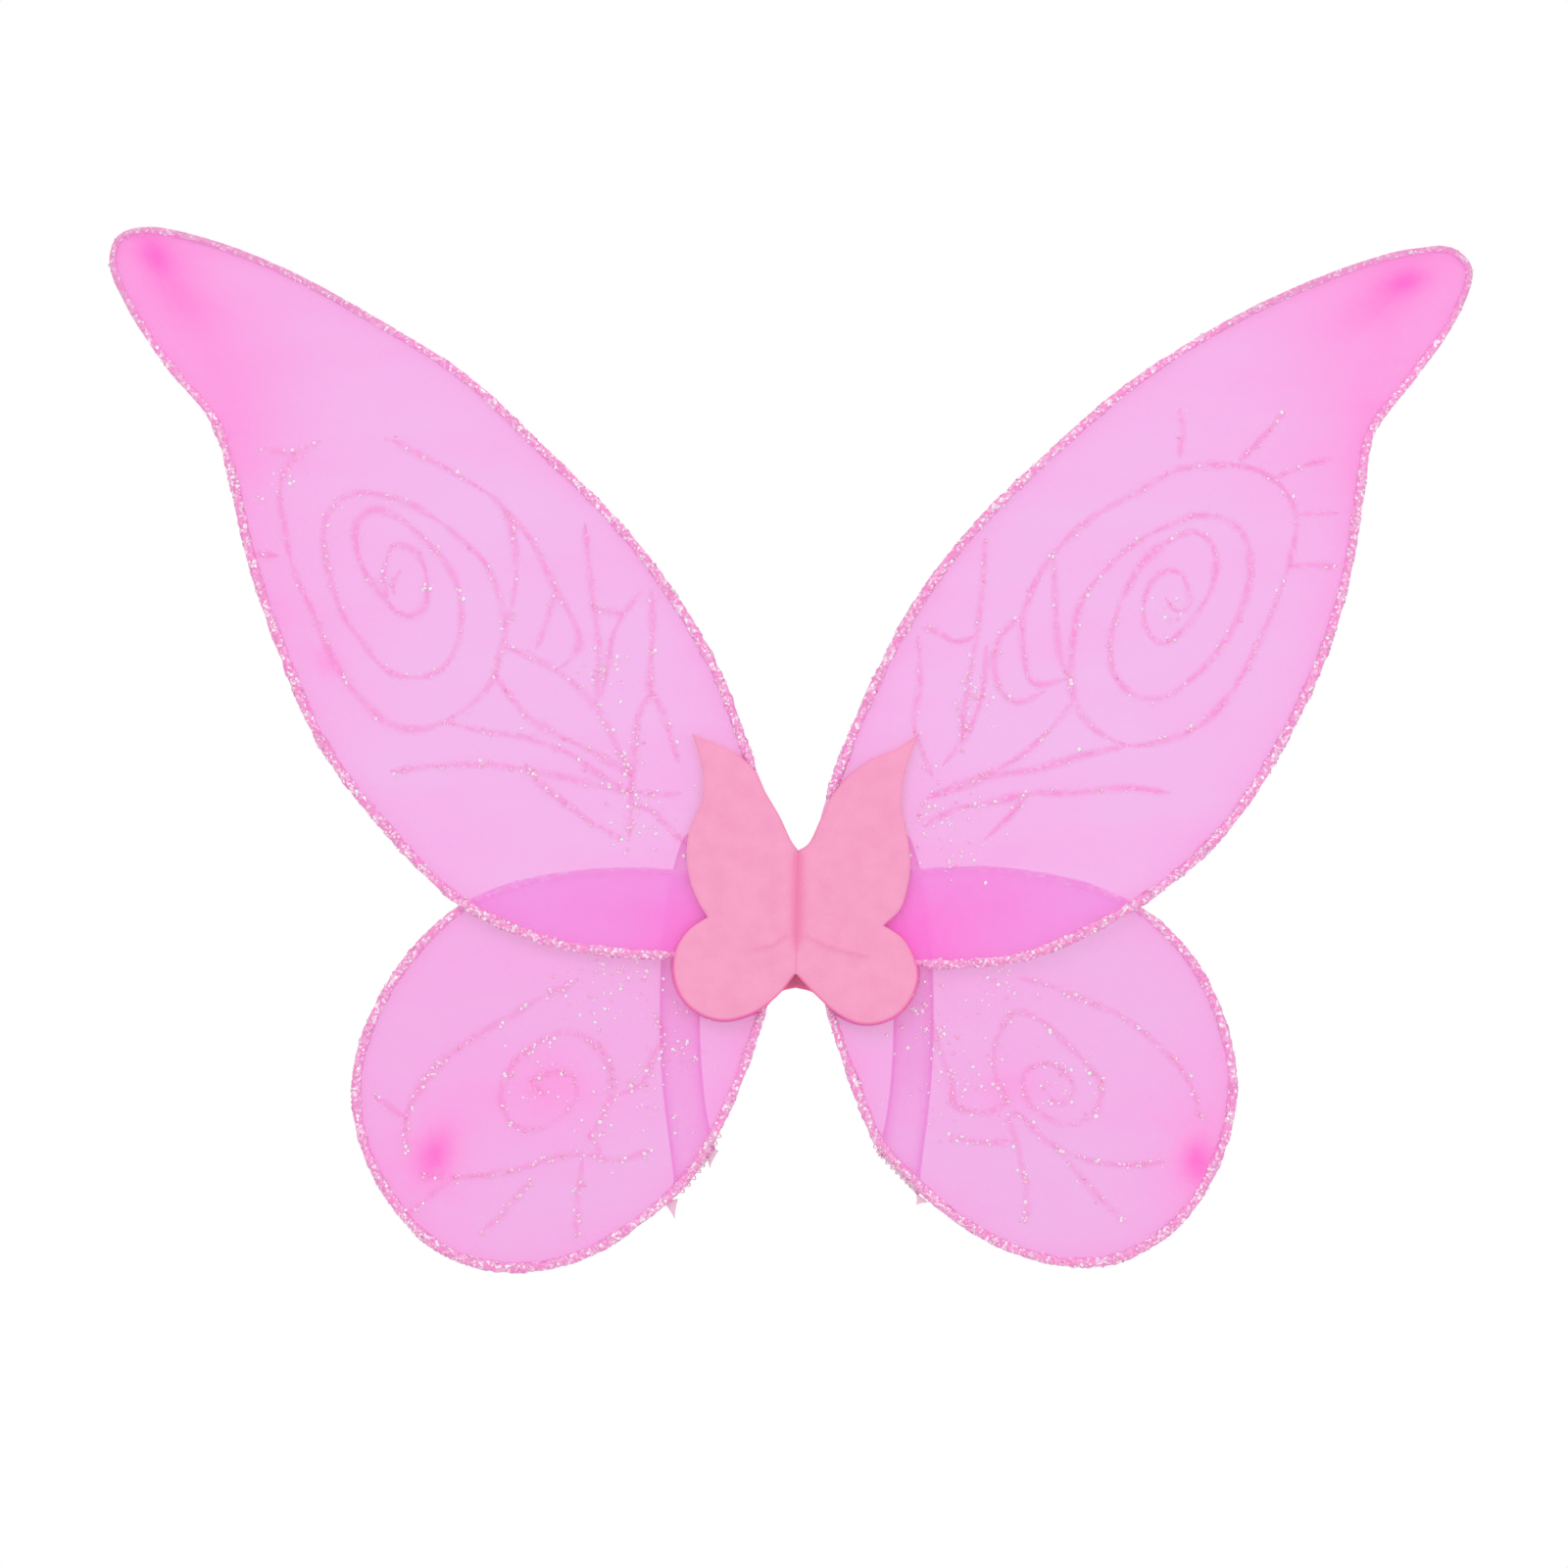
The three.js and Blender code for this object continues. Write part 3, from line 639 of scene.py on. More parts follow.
def flake_material():
    """Loose glitter: pale pink and iridescent white film, one tint per flake."""
    shader = Shader("glitter_flakes", roughness=0.25, specular_ior_level=0.7, coat_weight=0.3)
    tint = shader.value("tint")
    base = shader.ramp(tint, [
        (0.0, (255, 160, 212)), (0.25, (255, 190, 226)), (0.5, (255, 214, 238)),
        (0.74, (255, 230, 245)), (0.88, (252, 238, 252)), (0.96, (244, 250, 250)),
    ])
    fine = shader.noise(shader.place, 4000.0, 1.0)
    base = shader.mix(shader.times(fine, 0.1), base, colour(240, 190, 222))
    return shader.finish(base)


def foam_material(name, light, deep):
    shader = Shader(name, roughness=0.88, specular_ior_level=0.22,
                    sheen_weight=0.25, sheen_roughness=0.6)
    mottle = shader.noise(shader.place, 160.0, 4.0)
    cells = shader.cells(shader.place, 1500.0)
    base = shader.ramp(mottle, [(0.3, light), (0.75, deep)])
    # Painted shade: a darker pink along the crease and the faint wrinkles
    base = shader.mix(shader.times(shader.value("crease"), 0.85), base, colour(238, 124, 172))
    # Painted shadow: a hot pink band along the foam's edge, strongest under the lower lobes
    base = shader.mix(shader.value("cut_edge"), base, colour(252, 96, 164))
    height = shader.plus(shader.times(mottle, 0.5), cells.outputs["Distance"])
    return shader.finish(base, shader.bump(height, 0.3, 0.0004))


def elastic_material():
    """Woven elastic: ribs along the band crossed by fine weft."""
    shader = Shader("woven_elastic", roughness=0.8, specular_ior_level=0.2, sheen_weight=0.3)
    ribs = shader.calc("SINE", shader.times(shader.value("across"), 2 * math.pi / RIB_PITCH))
    weft = shader.calc("SINE", shader.times(shader.value("along"), 2 * math.pi / WEFT_PITCH))
    weave = shader.plus(shader.times(ribs, 0.35), shader.times(weft, 0.15))
    tone = shader.plus(weave, 0.5, True)
    base = shader.ramp(tone, [(0.0, (246, 230, 240)), (1.0, (255, 252, 254))])
    # Painted shade: a darker pink along both edges of the band
    base = shader.mix(shader.value("selvage"), base, colour(230, 160, 204))
    fuzz = shader.noise(shader.place, 2500.0, 2.0)
    height = shader.plus(weave, shader.times(fuzz, 0.4))
    return shader.finish(base, shader.bump(height, 0.5, 0.0003))


def tape_material():
    shader = Shader("cloth_tape", roughness=0.68, specular_ior_level=0.3)
    inputs = {"Vector": shader.place, "Scale": 900.0}
    warp, weft = (shader.node("ShaderNodeTexWave", inputs, bands_direction=axis).outputs["Fac"]
                  for axis in "XZ")
    weave = shader.times(warp, weft)
    grime = shader.noise(shader.place, 90.0, 4.0)
    base = shader.ramp(grime, [(0.3, (206, 112, 140)), (0.7, (226, 150, 172))])
    base = shader.mix(shader.times(weave, 0.25), base, colour(240, 190, 205))
    return shader.finish(base, shader.bump(weave, 0.35, 0.0002))


def thread_material():
    shader = Shader("sewing_thread", roughness=0.6, sheen_weight=0.4)
    inputs = {"Vector": shader.place, "Scale": 1500.0}
    twist = shader.node("ShaderNodeTexWave", inputs, bands_direction="DIAGONAL").outputs["Fac"]
    base = shader.ramp(twist, [(0.0, (238, 170, 204)), (1.0, (252, 214, 232))])
    return shader.finish(base, shader.bump(twist, 0.5, 0.0001))


def wire_material():
    shader = Shader("bright_wire", metallic=0.25, roughness=0.35)
    drawn = shader.noise(shader.mapped(shader.place, (0, 0.6, 0), (60, 60, 600)), 1.0, 4.0)
    base = shader.ramp(drawn, [(0.3, (252, 236, 245)), (0.7, (255, 248, 252))])
    return shader.finish(base, shader.bump(drawn, 0.15, 0.0001))


def floor_material():
    shader = Shader("pale_floor", roughness=0.9)
    shade = shader.noise(shader.place, 0.6, 1.0)
    base = shader.ramp(shade, [(0.0, (247, 247, 248)), (1.0, (252, 252, 252))])
    return shader.finish(base)


# ---------------------------------------------------------------- camera, light and floor

def make_camera():
    """Looks straight along +Y at the middle of the picture, from about 1.6 m."""
    data = bpy.data.cameras.new("camera")
    data.lens = CAMERA_LENS
    data.sensor_width = 36
    camera = bpy.data.objects.new("camera", data)
    camera.location = CAMERA_PLACE_M
    camera.rotation_euler = (math.pi / 2, 0, 0)
    bpy.context.scene.collection.objects.link(camera)
    bpy.context.scene.camera = camera


def make_world():
    """A white studio: pure white behind the object, and a softer white all round it."""
    world = bpy.data.worlds.new("studio")
    bpy.context.scene.world = world
    world.use_nodes = True
    nodes, links = world.node_tree.nodes, world.node_tree.links
    backdrop = nodes["Background"]
    backdrop.inputs["Color"].default_value = (1, 1, 1, 1)
    ambient = nodes.new("ShaderNodeBackground")
    ambient.inputs["Color"].default_value = (1, 0.99, 0.995, 1)
    ambient.inputs["Strength"].default_value = 0.86
    seen = nodes.new("ShaderNodeLightPath")
    choice = nodes.new("ShaderNodeMixShader")
    links.new(seen.outputs["Is Camera Ray"], choice.inputs[0])
    links.new(ambient.outputs[0], choice.inputs[1])
    links.new(backdrop.outputs[0], choice.inputs[2])
    links.new(choice.outputs[0], nodes["World Output"].inputs["Surface"])


def make_softbox(name, location, size, power):
    data = bpy.data.lights.new(name, "AREA")
    data.shape = "DISK"
    data.size = size
    data.energy = power
    light = bpy.data.objects.new(name, data)
    light.location = location
    towards = Vector((0, 0, 0.05)) - Vector(location)
    light.rotation_euler = towards.to_track_quat("-Z", "Y").to_euler()
    bpy.context.scene.collection.objects.link(light)


def make_floor():
    build = Build()
    rim = np.pad(round_section(FLOOR_RADIUS, 96), ((0, 0), (0, 1)), constant_values=FLOOR_Z)
    build.add(rim, [list(range(len(rim)))])
    build.make("floor", floor_material())


# ---------------------------------------------------------------- arm loops

def strap_section():
    """The band's cross-section: flat, with rounded edges; points [across, outwards]."""
    half, thick = STRAP_WIDTH / 2, STRAP_THICKNESS / 2
    across = np.array([0, 0.4, 0.76, 0.86, 0.94, 0.985, 1]) * half
    rise = np.array([0.9, 0.9, 0.85, 0.9, 1.1, 0.65, 0]) * thick
    across = np.concatenate([-across[:0:-1], across])
    rise = np.concatenate([rise[:0:-1], rise])
    top = np.stack([across, rise], axis=1)
    bottom = np.stack([across[1:-1], -rise[1:-1]], axis=1)[::-1]
    return np.vstack([top, bottom])


def make_strap(side, sign, material):
    route = smooth_line([(sign * x, y, z) for x, y, z in STRAP_ROUTE], LOOP_SPACING)
    section = strap_section()
    vertices, faces = sweep(route, section, across_x)
    vertices[:, 2] += end_slant(sign * vertices[:, 0], vertices[:, 2])
    across = np.tile(section[:, 0], len(route))
    along = np.repeat(np.arange(len(route)) * LOOP_SPACING, len(section))
    # Painted shade along the band's edges, for its colour
    selvage = slope(np.abs(across), STRAP_EDGE_SHADE_START, STRAP_EDGE_SHADE_FADE)
    build = Build()
    build.add(vertices, faces, across=across, along=along, selvage=selvage)
    strap = build.make(f"{side}_arm_loop", material)
    belong(strap, f"{side}_half", f"{side}_strap")


def end_slant(x, z):
    """How far the lowest part of a strap is sheared, so that its end follows the slope of the wire."""
    share = slope(-z, -(STRAP_END_Z + STRAP_SLANTED_LENGTH), STRAP_SLANTED_LENGTH)
    return share**2 * STRAP_END_SLOPE * (x - STRAP_END_X)


def make_upper_tack(side, sign, material):
    """A box stitch with a cross in it, sewn through the strap's end."""
    half_width, half_length = TACK_WIDTH / 2, TACK_LENGTH / 2
    corners = [(-half_width, -half_length), (half_width, -half_length), (half_width, half_length),
               (-half_width, half_length), (-half_width, -half_length), (half_width, half_length)]
    runs = list(zip(corners[:-1], corners[1:]))
    runs.append(((half_width, -half_length), (-half_width, half_length)))
    top = STRAP_ROUTE[0][1] + STRAP_THICKNESS / 2
    build = Build()
    for start, end in runs:
        start, end = np.array(start), np.array(end)
        stitches = max(2, round(np.linalg.norm(end - start) / STITCH_PITCH))
        for number in range(stitches):
            share = (number + STITCH_SHARES) / stitches
            flat = start + (end - start) * share[:, None]
            x, z = sign * UPPER_TACK[0] + flat[:, 0], UPPER_TACK[1] + flat[:, 1]
            line = np.stack([x, top + STITCH_RISE, z], axis=1)
            build.add(*sweep(line, round_section(THREAD_RADIUS, 6), across_wing))
    finish_tack(build, side, "upper", material)


def make_lower_tack(side, sign, wing, material):
    """Whip stitches round the wire that hold the strap's end to it."""
    line = wing["points"] if sign > 0 else [(-x, z) for x, z in wing["points"]]
    rim = smooth_line(line, 0.5)
    rim = rim[(np.abs(rim[:, 0] - STRAP_END_X) < STRAP_WIDTH / 2) & (rim[:, 1] < -60)]
    angles = full_turn(20)
    build = Build()
    for share in np.linspace(0.06, 0.94, WHIP_STITCHES):
        number = round(share * (len(rim) - 1))
        step = rim[min(number + 1, len(rim) - 1)] - rim[max(number - 1, 0)]
        along = unit(step)
        out = np.array([along[1], -along[0]])
        out = out * np.sign(out @ (-1.0, -1.0))
        lean = along * WHIP_LEAN * np.sin(angles)[:, None]
        flat = rim[number] + out * (WHIP_INSET + WHIP_RADIUS * np.cos(angles))[:, None] + lean
        y = wing["layer"] + WHIP_REAR_SHIFT + WHIP_DEPTH * np.sin(angles)
        ring = np.stack([sign * flat[:, 0], y, flat[:, 1]], axis=1)
        facing = np.tile((sign * along[0], 0.0, along[1]), (len(angles), 1))
        build.add(*sweep(ring, round_section(THREAD_RADIUS, 6), lambda _: facing, loop=True))
    for base, tip in STRAP_CORNERS[side]:
        add_corner(build, np.array(base), np.array(tip), wing["layer"] + WIRE_RADIUS)
    finish_tack(build, side, "lower", material)


def add_corner(build, base, tip, y):
    """A folded corner of elastic: a flat point that narrows to its tip."""
    share = np.linspace(0, 1, 8)
    flat = base + (tip - base) * share[:, None]
    line = np.stack([flat[:, 0], np.full(len(share), y), flat[:, 1]], axis=1)
    half_width = CORNER_HALF_WIDTH * (1 - share) ** 1.4 + 0.15
    half_depth = CORNER_HALF_DEPTH - 0.4 * share
    scale = np.stack([half_width, half_depth], axis=1)
    build.add(*sweep(line, round_section(1.0, 12) * scale[:, None], across_wing))


def finish_tack(build, side, level, material):
    tack = build.make(f"{side}_{level}_stitches", material)
    belong(tack, f"{side}_half", f"{side}_strap_{level}_tack")


# ---------------------------------------------------------------- wire, sleeve and binding

def make_wire(wing, material):
    line = on_layer(wing["loop"], wing["layer"])
    build = Build()
    build.add(*sweep(line, round_section(WIRE_RADIUS, 14), across_wing, loop=True))
    wire = build.make(f"{wing['name']}_wire_loop", material)
    belong(wire, wing["body"], f"{wing['name']}_wire")
    return wire


def wrapped(height, half_width, half_depth, turns, ridge):
    """A bar wound with tape, standing on z = 0: vertices and faces."""
    z = np.linspace(0, height, 91)
    angles = full_turn(28)
    lap = (z[:, None] / height * turns + angles / (2 * math.pi)) % 1.0
    round_end = np.sqrt(np.clip(1 - (1 - np.minimum(z, height - z) / 0.5).clip(0, 1) ** 2, 0, 1))
    swell = 1 + ridge * (lap - 0.5) - 0.25 * (1 - round_end[:, None])
    across = half_width * swell * np.cos(angles)
    deep = half_depth * swell * np.sin(angles)
    line = np.stack([np.zeros_like(z), np.zeros_like(z), z], axis=1)
    return sweep(line, np.stack([across, deep], axis=-1), across_x)


def make_sleeve(wing, top, bottom, material):
    vertices, faces = wrapped(top - bottom, SLEEVE_RADIUS, SLEEVE_RADIUS, SLEEVE_TURNS, 0.12)
    build = Build()
    build.add(vertices + (wing["sign"] * ROOT_X, wing["layer"], bottom), faces)
    sleeve = build.make(f"{wing['name']}_taped_joint", material)
    belong(sleeve, wing["body"], f"{wing['name']}_wire_sleeve")


def make_binding(material):
    low, high = (np.array(corner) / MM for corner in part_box("root_binding"))
    middle = (low + high) / 2
    half_width, half_depth, _ = (high - low) / 2 * BINDING_FILL
    vertices, faces = wrapped(high[2] - low[2], half_width, half_depth, BINDING_TURNS, 0.08)
    build = Build()
    build.add(vertices + (middle[0], middle[1], low[2]), faces)
    binding = build.make("taped_root_binding", material)
    belong(binding, "spine", "root_binding")


# ---------------------------------------------------------------- nylon

def half_gap(depth):
    """Half the distance between the nylon's two layers, at a depth from the rim."""
    wrap = np.sqrt(np.clip(NYLON_WRAP_RADIUS**2 - (NYLON_WRAP_RADIUS - depth) ** 2, 0, None))
    flat = NYLON_HALF_GAP + (NYLON_WRAP_RADIUS - NYLON_HALF_GAP) * falloff(
        depth - NYLON_WRAP_RADIUS, NYLON_PINCH_LENGTH)
    return np.where(depth < NYLON_WRAP_RADIUS, wrap, flat)


def make_stocking(wing):
    area = Area(wing["outline"], NYLON_RINGS, NYLON_SPACING)
    middle = wing["layer"] + bow(area.points[:, 0])
    gap = half_gap(area.depth)
    density = wing["density"](area.points, area.depth)
    build = plate(area, middle - gap, middle + gap, nylon_density=density)
    material = nylon_material(f"{wing['name']}_sheer_nylon", wing["spots"], wing["lean"], wing["deep"])
    stocking = build.make(f"{wing['name']}_stocking", material)
    # The cover's shadow on itself and on the straps would be too dark for sheer nylon
    stocking.visible_shadow = False
    stocking.visible_diffuse = False
    belong(stocking, wing["body"], f"{wing['name']}_nylon")


# ---------------------------------------------------------------- glitter glue

HEXAGON = round_section(1.0, 6)


def add_flakes(build, rng, centres, normals, sizes):
    """Thin six-sided flakes lying roughly along a surface."""
    for centre, normal, size in zip(centres, normals, sizes):
        normal = unit(normal + rng.normal(size=3) * FLAKE_LEAN)
        side = unit(np.cross(normal, rng.normal(size=3)))
        other = np.cross(normal, side)
        flat = (HEXAGON[:, :1] * side + HEXAGON[:, 1:] * other * rng.uniform(0.7, 1)) * size
        rise = normal * FLAKE_THICKNESS / 2
        vertices = np.vstack([centre + flat - rise, centre + flat + rise])
        faces = [[5, 4, 3, 2, 1, 0], [6, 7, 8, 9, 10, 11]]
        faces += [[i, (i + 1) % 6, (i + 1) % 6 + 6, i + 6] for i in range(6)]
        build.add(vertices, faces, slot=1, tint=rng.uniform())


def add_flat_flakes(build, rng, centres, size_range):
    """Flakes that lie on the front of a wing."""
    sizes = FLAKE_SIZE * rng.uniform(*size_range, size=len(centres))
    add_flakes(build, rng, centres, np.tile((0.0, -1.0, 0.0), (len(centres), 1)), sizes)


def bead_sections(rng, thickness):
    """Lumpy caps over the wire, one per point of the rim: [across, outwards] points."""
    count = len(thickness)
    angles = np.radians(np.linspace(-BEAD_HALF_WRAP_DEG, BEAD_HALF_WRAP_DEG, 11))
    dome = 0.3 + 0.7 * np.cos(angles / 2.5) ** 2
    rough = 0.3 * thickness.clip(0, 1)[:, None]
    lumps = 1 + rough * rng.normal(size=(count, len(angles))).clip(-1.5, 1.5)
    radius = BEAD_INNER_RADIUS + BEAD_HEIGHT * thickness[:, None] * dome * lumps
    radius[:, [0, -1]] = BEAD_INNER_RADIUS + 0.12
    outer = np.stack([radius * np.sin(angles), radius * np.cos(angles)], axis=-1)
    angles = np.radians(np.linspace(BEAD_HALF_WRAP_DEG, -BEAD_HALF_WRAP_DEG, 7))
    inner = np.stack([np.sin(angles), np.cos(angles)], axis=-1) * BEAD_INNER_RADIUS
    return np.concatenate([outer, np.broadcast_to(inner, (count, *inner.shape))], axis=1)


def make_rim(wing, glue, flakes):
    """The bead of glitter glue along the wire, from where it leaves the patch to where it returns."""
    rng = np.random.default_rng(wing["seed"])
    line = smooth_line(wing["points"], RIM_SPACING)
    shown = (np.abs(line[:, 0]) > BEAD_START_X) | wing["rim_shows"](line[:, 1])
    line = line[shown]
    heavy = wing["rim_weight"](line)
    thickness = (heavy * (1 + 0.25 * drift_noise(rng, len(line), 5))).clip(0.25, 1.7)
    thickness = thickness * taper(len(line), 4) + 0.02
    path = on_layer(line, wing["layer"])
    sections = bead_sections(rng, thickness)
    glitter = np.repeat(np.clip((heavy - 0.12) / 0.5, 0.1, 1), sections.shape[1])
    build = Build()
    build.add(*sweep(path, sections, across_wing), glitter=glitter)
    add_rim_flakes(build, rng, path, heavy, thickness)
    rim = build.make(f"{wing['name']}_rim_glitter", glue, flakes)
    belong(rim, wing["body"], f"{wing['name']}_edge_glitter")


def add_rim_flakes(build, rng, path, heavy, thickness):
    across, outwards = line_frames(path, across_wing)
    clumps = np.exp(0.9 * drift_noise(rng, len(path), 3))
    chance = 0.85 * np.clip(heavy - 0.2, 0.17, 1) * clumps
    chosen = np.flatnonzero(rng.uniform(size=len(path)) < chance)
    angle = rng.normal(size=len(chosen)) * 0.8
    normals = np.sin(angle)[:, None] * across[chosen] + np.cos(angle)[:, None] * outwards[chosen]
    radius = BEAD_INNER_RADIUS + BEAD_HEIGHT * thickness[chosen] + 0.05
    centres = path[chosen] + normals * radius[:, None]
    sizes = FLAKE_SIZE * rng.uniform(0.6, 1.5, size=len(chosen))
    add_flakes(build, rng, centres, normals, sizes)


def make_swirls(wing, glue, flakes):
    """The spiral and veins drawn on the front layer of nylon."""
    rng = np.random.default_rng(wing["seed"] + 50)
    build = Build()
    rim = closed(wing["outline"])
    strokes = [smooth_line(stroke, STROKE_SPACING) for stroke in wing["strokes"]]
    for flat in strokes:
        depth = distance_to(flat, rim)
        path = on_layer(flat, wing["layer"])
        path[:, 1] -= half_gap(depth) + 0.03
        add_stroke(build, rng, path, wing["ink"], wing["sparkle"])
    for x, z, spread, count in wing["scatter"]:
        add_scatter(build, rng, wing, (x, z), spread, count)
    swirls = build.make(f"{wing['name']}_glitter_swirls", glue, flakes)
    belong(swirls, wing["body"], f"{wing['name']}_swirls")


def add_stroke(build, rng, path, ink, sparkle):
    """One line of glue, thin at its ends, with a share of flakes in it."""
    count = len(path)
    ends = taper(count, 3)
    width = STROKE_WIDTH * (1 + 0.22 * drift_noise(rng, count, 6)).clip(0.5, 1.6)
    width = width * (0.3 + 0.7 * ends)
    height = STROKE_HEIGHT * (1 + 0.3 * drift_noise(rng, count, 4)).clip(0.4, 1.8)
    height = height * (0.2 + 0.8 * ends)
    sections = np.stack([width[:, None] * STROKE_ACROSS, height[:, None] * STROKE_RISE], axis=-1)
    vertices, faces = sweep(path, sections, across_wing)
    build.add(vertices, faces, middle=ink * np.tile(STROKE_INK, count))
    clumps = np.exp(1.1 * drift_noise(rng, count, 3))
    chosen = np.flatnonzero(rng.uniform(size=count) < sparkle * clumps)
    centres = path[chosen] + rng.normal(size=(len(chosen), 3)) * (0.9, 0, 0.9)
    centres[:, 1] -= 0.3
    add_flat_flakes(build, rng, centres, (0.6, 1.6))


def add_scatter(build, rng, wing, middle, spread, count):
    """Loose flakes that fell into the wet glue round a place."""
    flat = np.array(middle) + rng.normal(size=(count, 2)) * spread
    flat = flat[inside(flat, wing["outline"])]
    depth = distance_to(flat, closed(wing["outline"]))
    flat, depth = flat[depth > 4], depth[depth > 4]
    centres = on_layer(flat, wing["layer"])
    centres[:, 1] -= half_gap(depth) + 0.08
    add_flat_flakes(build, rng, centres, (0.5, 1.5))


# ---------------------------------------------------------------- foam patches

def patch_half(edges, notch, margin):
    """Half a butterfly: its outer side, with the lobe moved out by a margin, and its outline."""
    top, side, lobe = edges
    lines = [smooth_line(edge, PATCH_EDGE_SPACING) for edge in (top, side, lobe + [notch])]
    outside = np.vstack([line[:-1] for line in lines])
    crease = even(np.array([notch, PATCH_TOP], float), PATCH_EDGE_SPACING)
    normals = turn_normals(np.vstack([outside, crease[:-1]]))[:len(outside)]
    # Only the lobe moves: not the sides above it, nor the notch at the crease
    reach = slope(np.abs(outside[:, :1]), 5, 9) * slope(-outside[:, 1:], 4, 6)
    outside = outside + normals * margin * reach
    return outside, np.vstack([outside, crease[:-1]])


def crease_x(z):
    """Where the crease between the halves runs."""
    return np.interp(z, [BACK_PATCH_NOTCH[1], PATCH_TOP[1]], [BACK_PATCH_NOTCH[0], PATCH_TOP[0]])


def rounded(depth, thickness):
    """Half the thickness at a depth from the edge, so that the foam's edge is soft."""
    radius = thickness / 2
    inner = np.clip(radius - depth, 0, None)
    return np.sqrt(np.clip(radius**2 - inner**2, 0, None))


def make_patch_half(side, sign, layer):
    """Half of the front or back patch; the halves meet in the crease, which hides the join."""
    edges = PATCH_LEFT_HALF if sign < 0 else PATCH_RIGHT_HALF
    thickness = layer["thickness"]
    outside, outline = patch_half(edges, layer["notch"], layer["margin"])
    area = Area(outline, PATCH_RINGS, PATCH_SPACING)
    x, z = area.points.T
    depth = distance_to(area.points, outside)
    half = rounded(depth, thickness)
    middle = layer["rear_y"] - thickness / 2
    from_crease = np.abs(x - crease_x(z))
    bulge = layer["bulge"](area.points, sign)
    creased = slope(z, CREASE_BOTTOM_Z, 6) * slope(-z, -CREASE_TOP_Z, 5)
    # Painted shade along the crease and the wrinkles, for the foam colour; the dip below is the real groove
    width = 0.5 + layer["crease_shade_width"] * creased
    crease = (0.45 + 0.55 * creased) * np.exp(-(from_crease / width) ** 2)
    wrinkle_shade = layer["wrinkle_shade"] * ridge(area.points, FRONT_WRINKLES[side], 1.0, 0.7)
    crease = np.clip(crease + wrinkle_shade, 0, 1)
    dip = (0.15 + 0.4 * creased) * np.exp(-(from_crease / 2.4) ** 2)
    fade = slope(depth, 0, 2)
    front = middle - half - (bulge - dip) * fade
    back = middle + half + layer["pad"](x, z)
    # Painted shadow along the foam's edge, mostly under the lower lobes
    cut_edge = slope(-depth, -0.8, 0.5) * (0.15 + 0.7 * slope(-z, 6, 10))
    build = plate(area, front, back, square=depth > 0.5, crease=crease, cut_edge=cut_edge)
    patch = build.make(f"{layer['name']}_{side}_wing", layer["material"])
    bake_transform(patch)
    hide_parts(f"{layer['name']}_patch")


def ridge(points, line, height, width):
    return height * np.exp(-(distance_to(points, np.array(line, float)) / width) ** 2)


def front_bulge(points, sign):
    """The foam shows the wires that run under it: the upper wing's lower wire and the bound roots."""
    side = "left" if sign < 0 else "right"
    root = [(sign * 4.5, -16), (sign * 4.5, 22)]
    cushion = 0.5 * (1 - np.clip(np.abs(points[:, 0]) / 45, 0, 1) ** 2)
    folds = ridge(points, FRONT_WRINKLES[side], 0.4, 0.9)
    wires = ridge(points, FRONT_WIRES[side], 0.4, 2.2) + ridge(points, root, 0.4, 3.5)
    return wires + folds + cushion


def no_bulge(points, sign):
    return np.zeros(len(points))


def no_pad(x, z):
    return np.zeros(len(x))


def rear_pad(x, z):
    """The oval pad on the back patch, with a soft edge."""
    reach = np.hypot(x / PAD_HALF_WIDTH, (z - PAD_CENTRE_Z) / PAD_HALF_HEIGHT)
    return PAD_RISE * slope(-reach, -1, PAD_SOFT_SHARE)


# ---------------------------------------------------------------- the four wings

def upper_density(spot, waist, side):
    """An upper wing's nylon is denser at its tip, its waist, its outer side and its rim."""
    tip_line = np.array([spot, waist], float)
    side_line = np.array([waist, side], float)

    def density(points, depth):
        tip = 0.25 * falloff(distance_to(points, tip_line), 32)
        outer = 0.1 * falloff(distance_to(points, side_line), 12)
        rim = 0.2 * falloff(depth, 2.5) + 0.1 * falloff(depth, 12)
        root = 0.3 * falloff(np.hypot(points[:, 0], points[:, 1] + 2), 30)
        return 0.01 + tip + outer + rim + root
    return density


def lower_density(base):
    """A lower wing's nylon is gathered under the upper wing, where it is pulled towards the root."""
    def density(points, depth):
        rim = 0.2 * falloff(depth, 2.5) + 0.1 * falloff(depth, 12)
        root = 0.3 * falloff(np.hypot(points[:, 0], points[:, 1] + 2), 48)
        top = 0.42 * falloff(distance_to(points, LOWER_TOP_LINE), 11)
        return base + rim + root + top
    return density


def upper_rim_weight(line):
    """Glue is thick along the bottom of an upper wing and thin at its tip."""
    return np.interp(line[:, 1], [0, 60, 150, 195, 225], [1.35, 1.25, 1.2, 0.8, 0.45])


def lower_rim_weight(line):
    return np.interp(line[:, 1], [-120, -20, 18], [1.25, 1.1, 0.5])


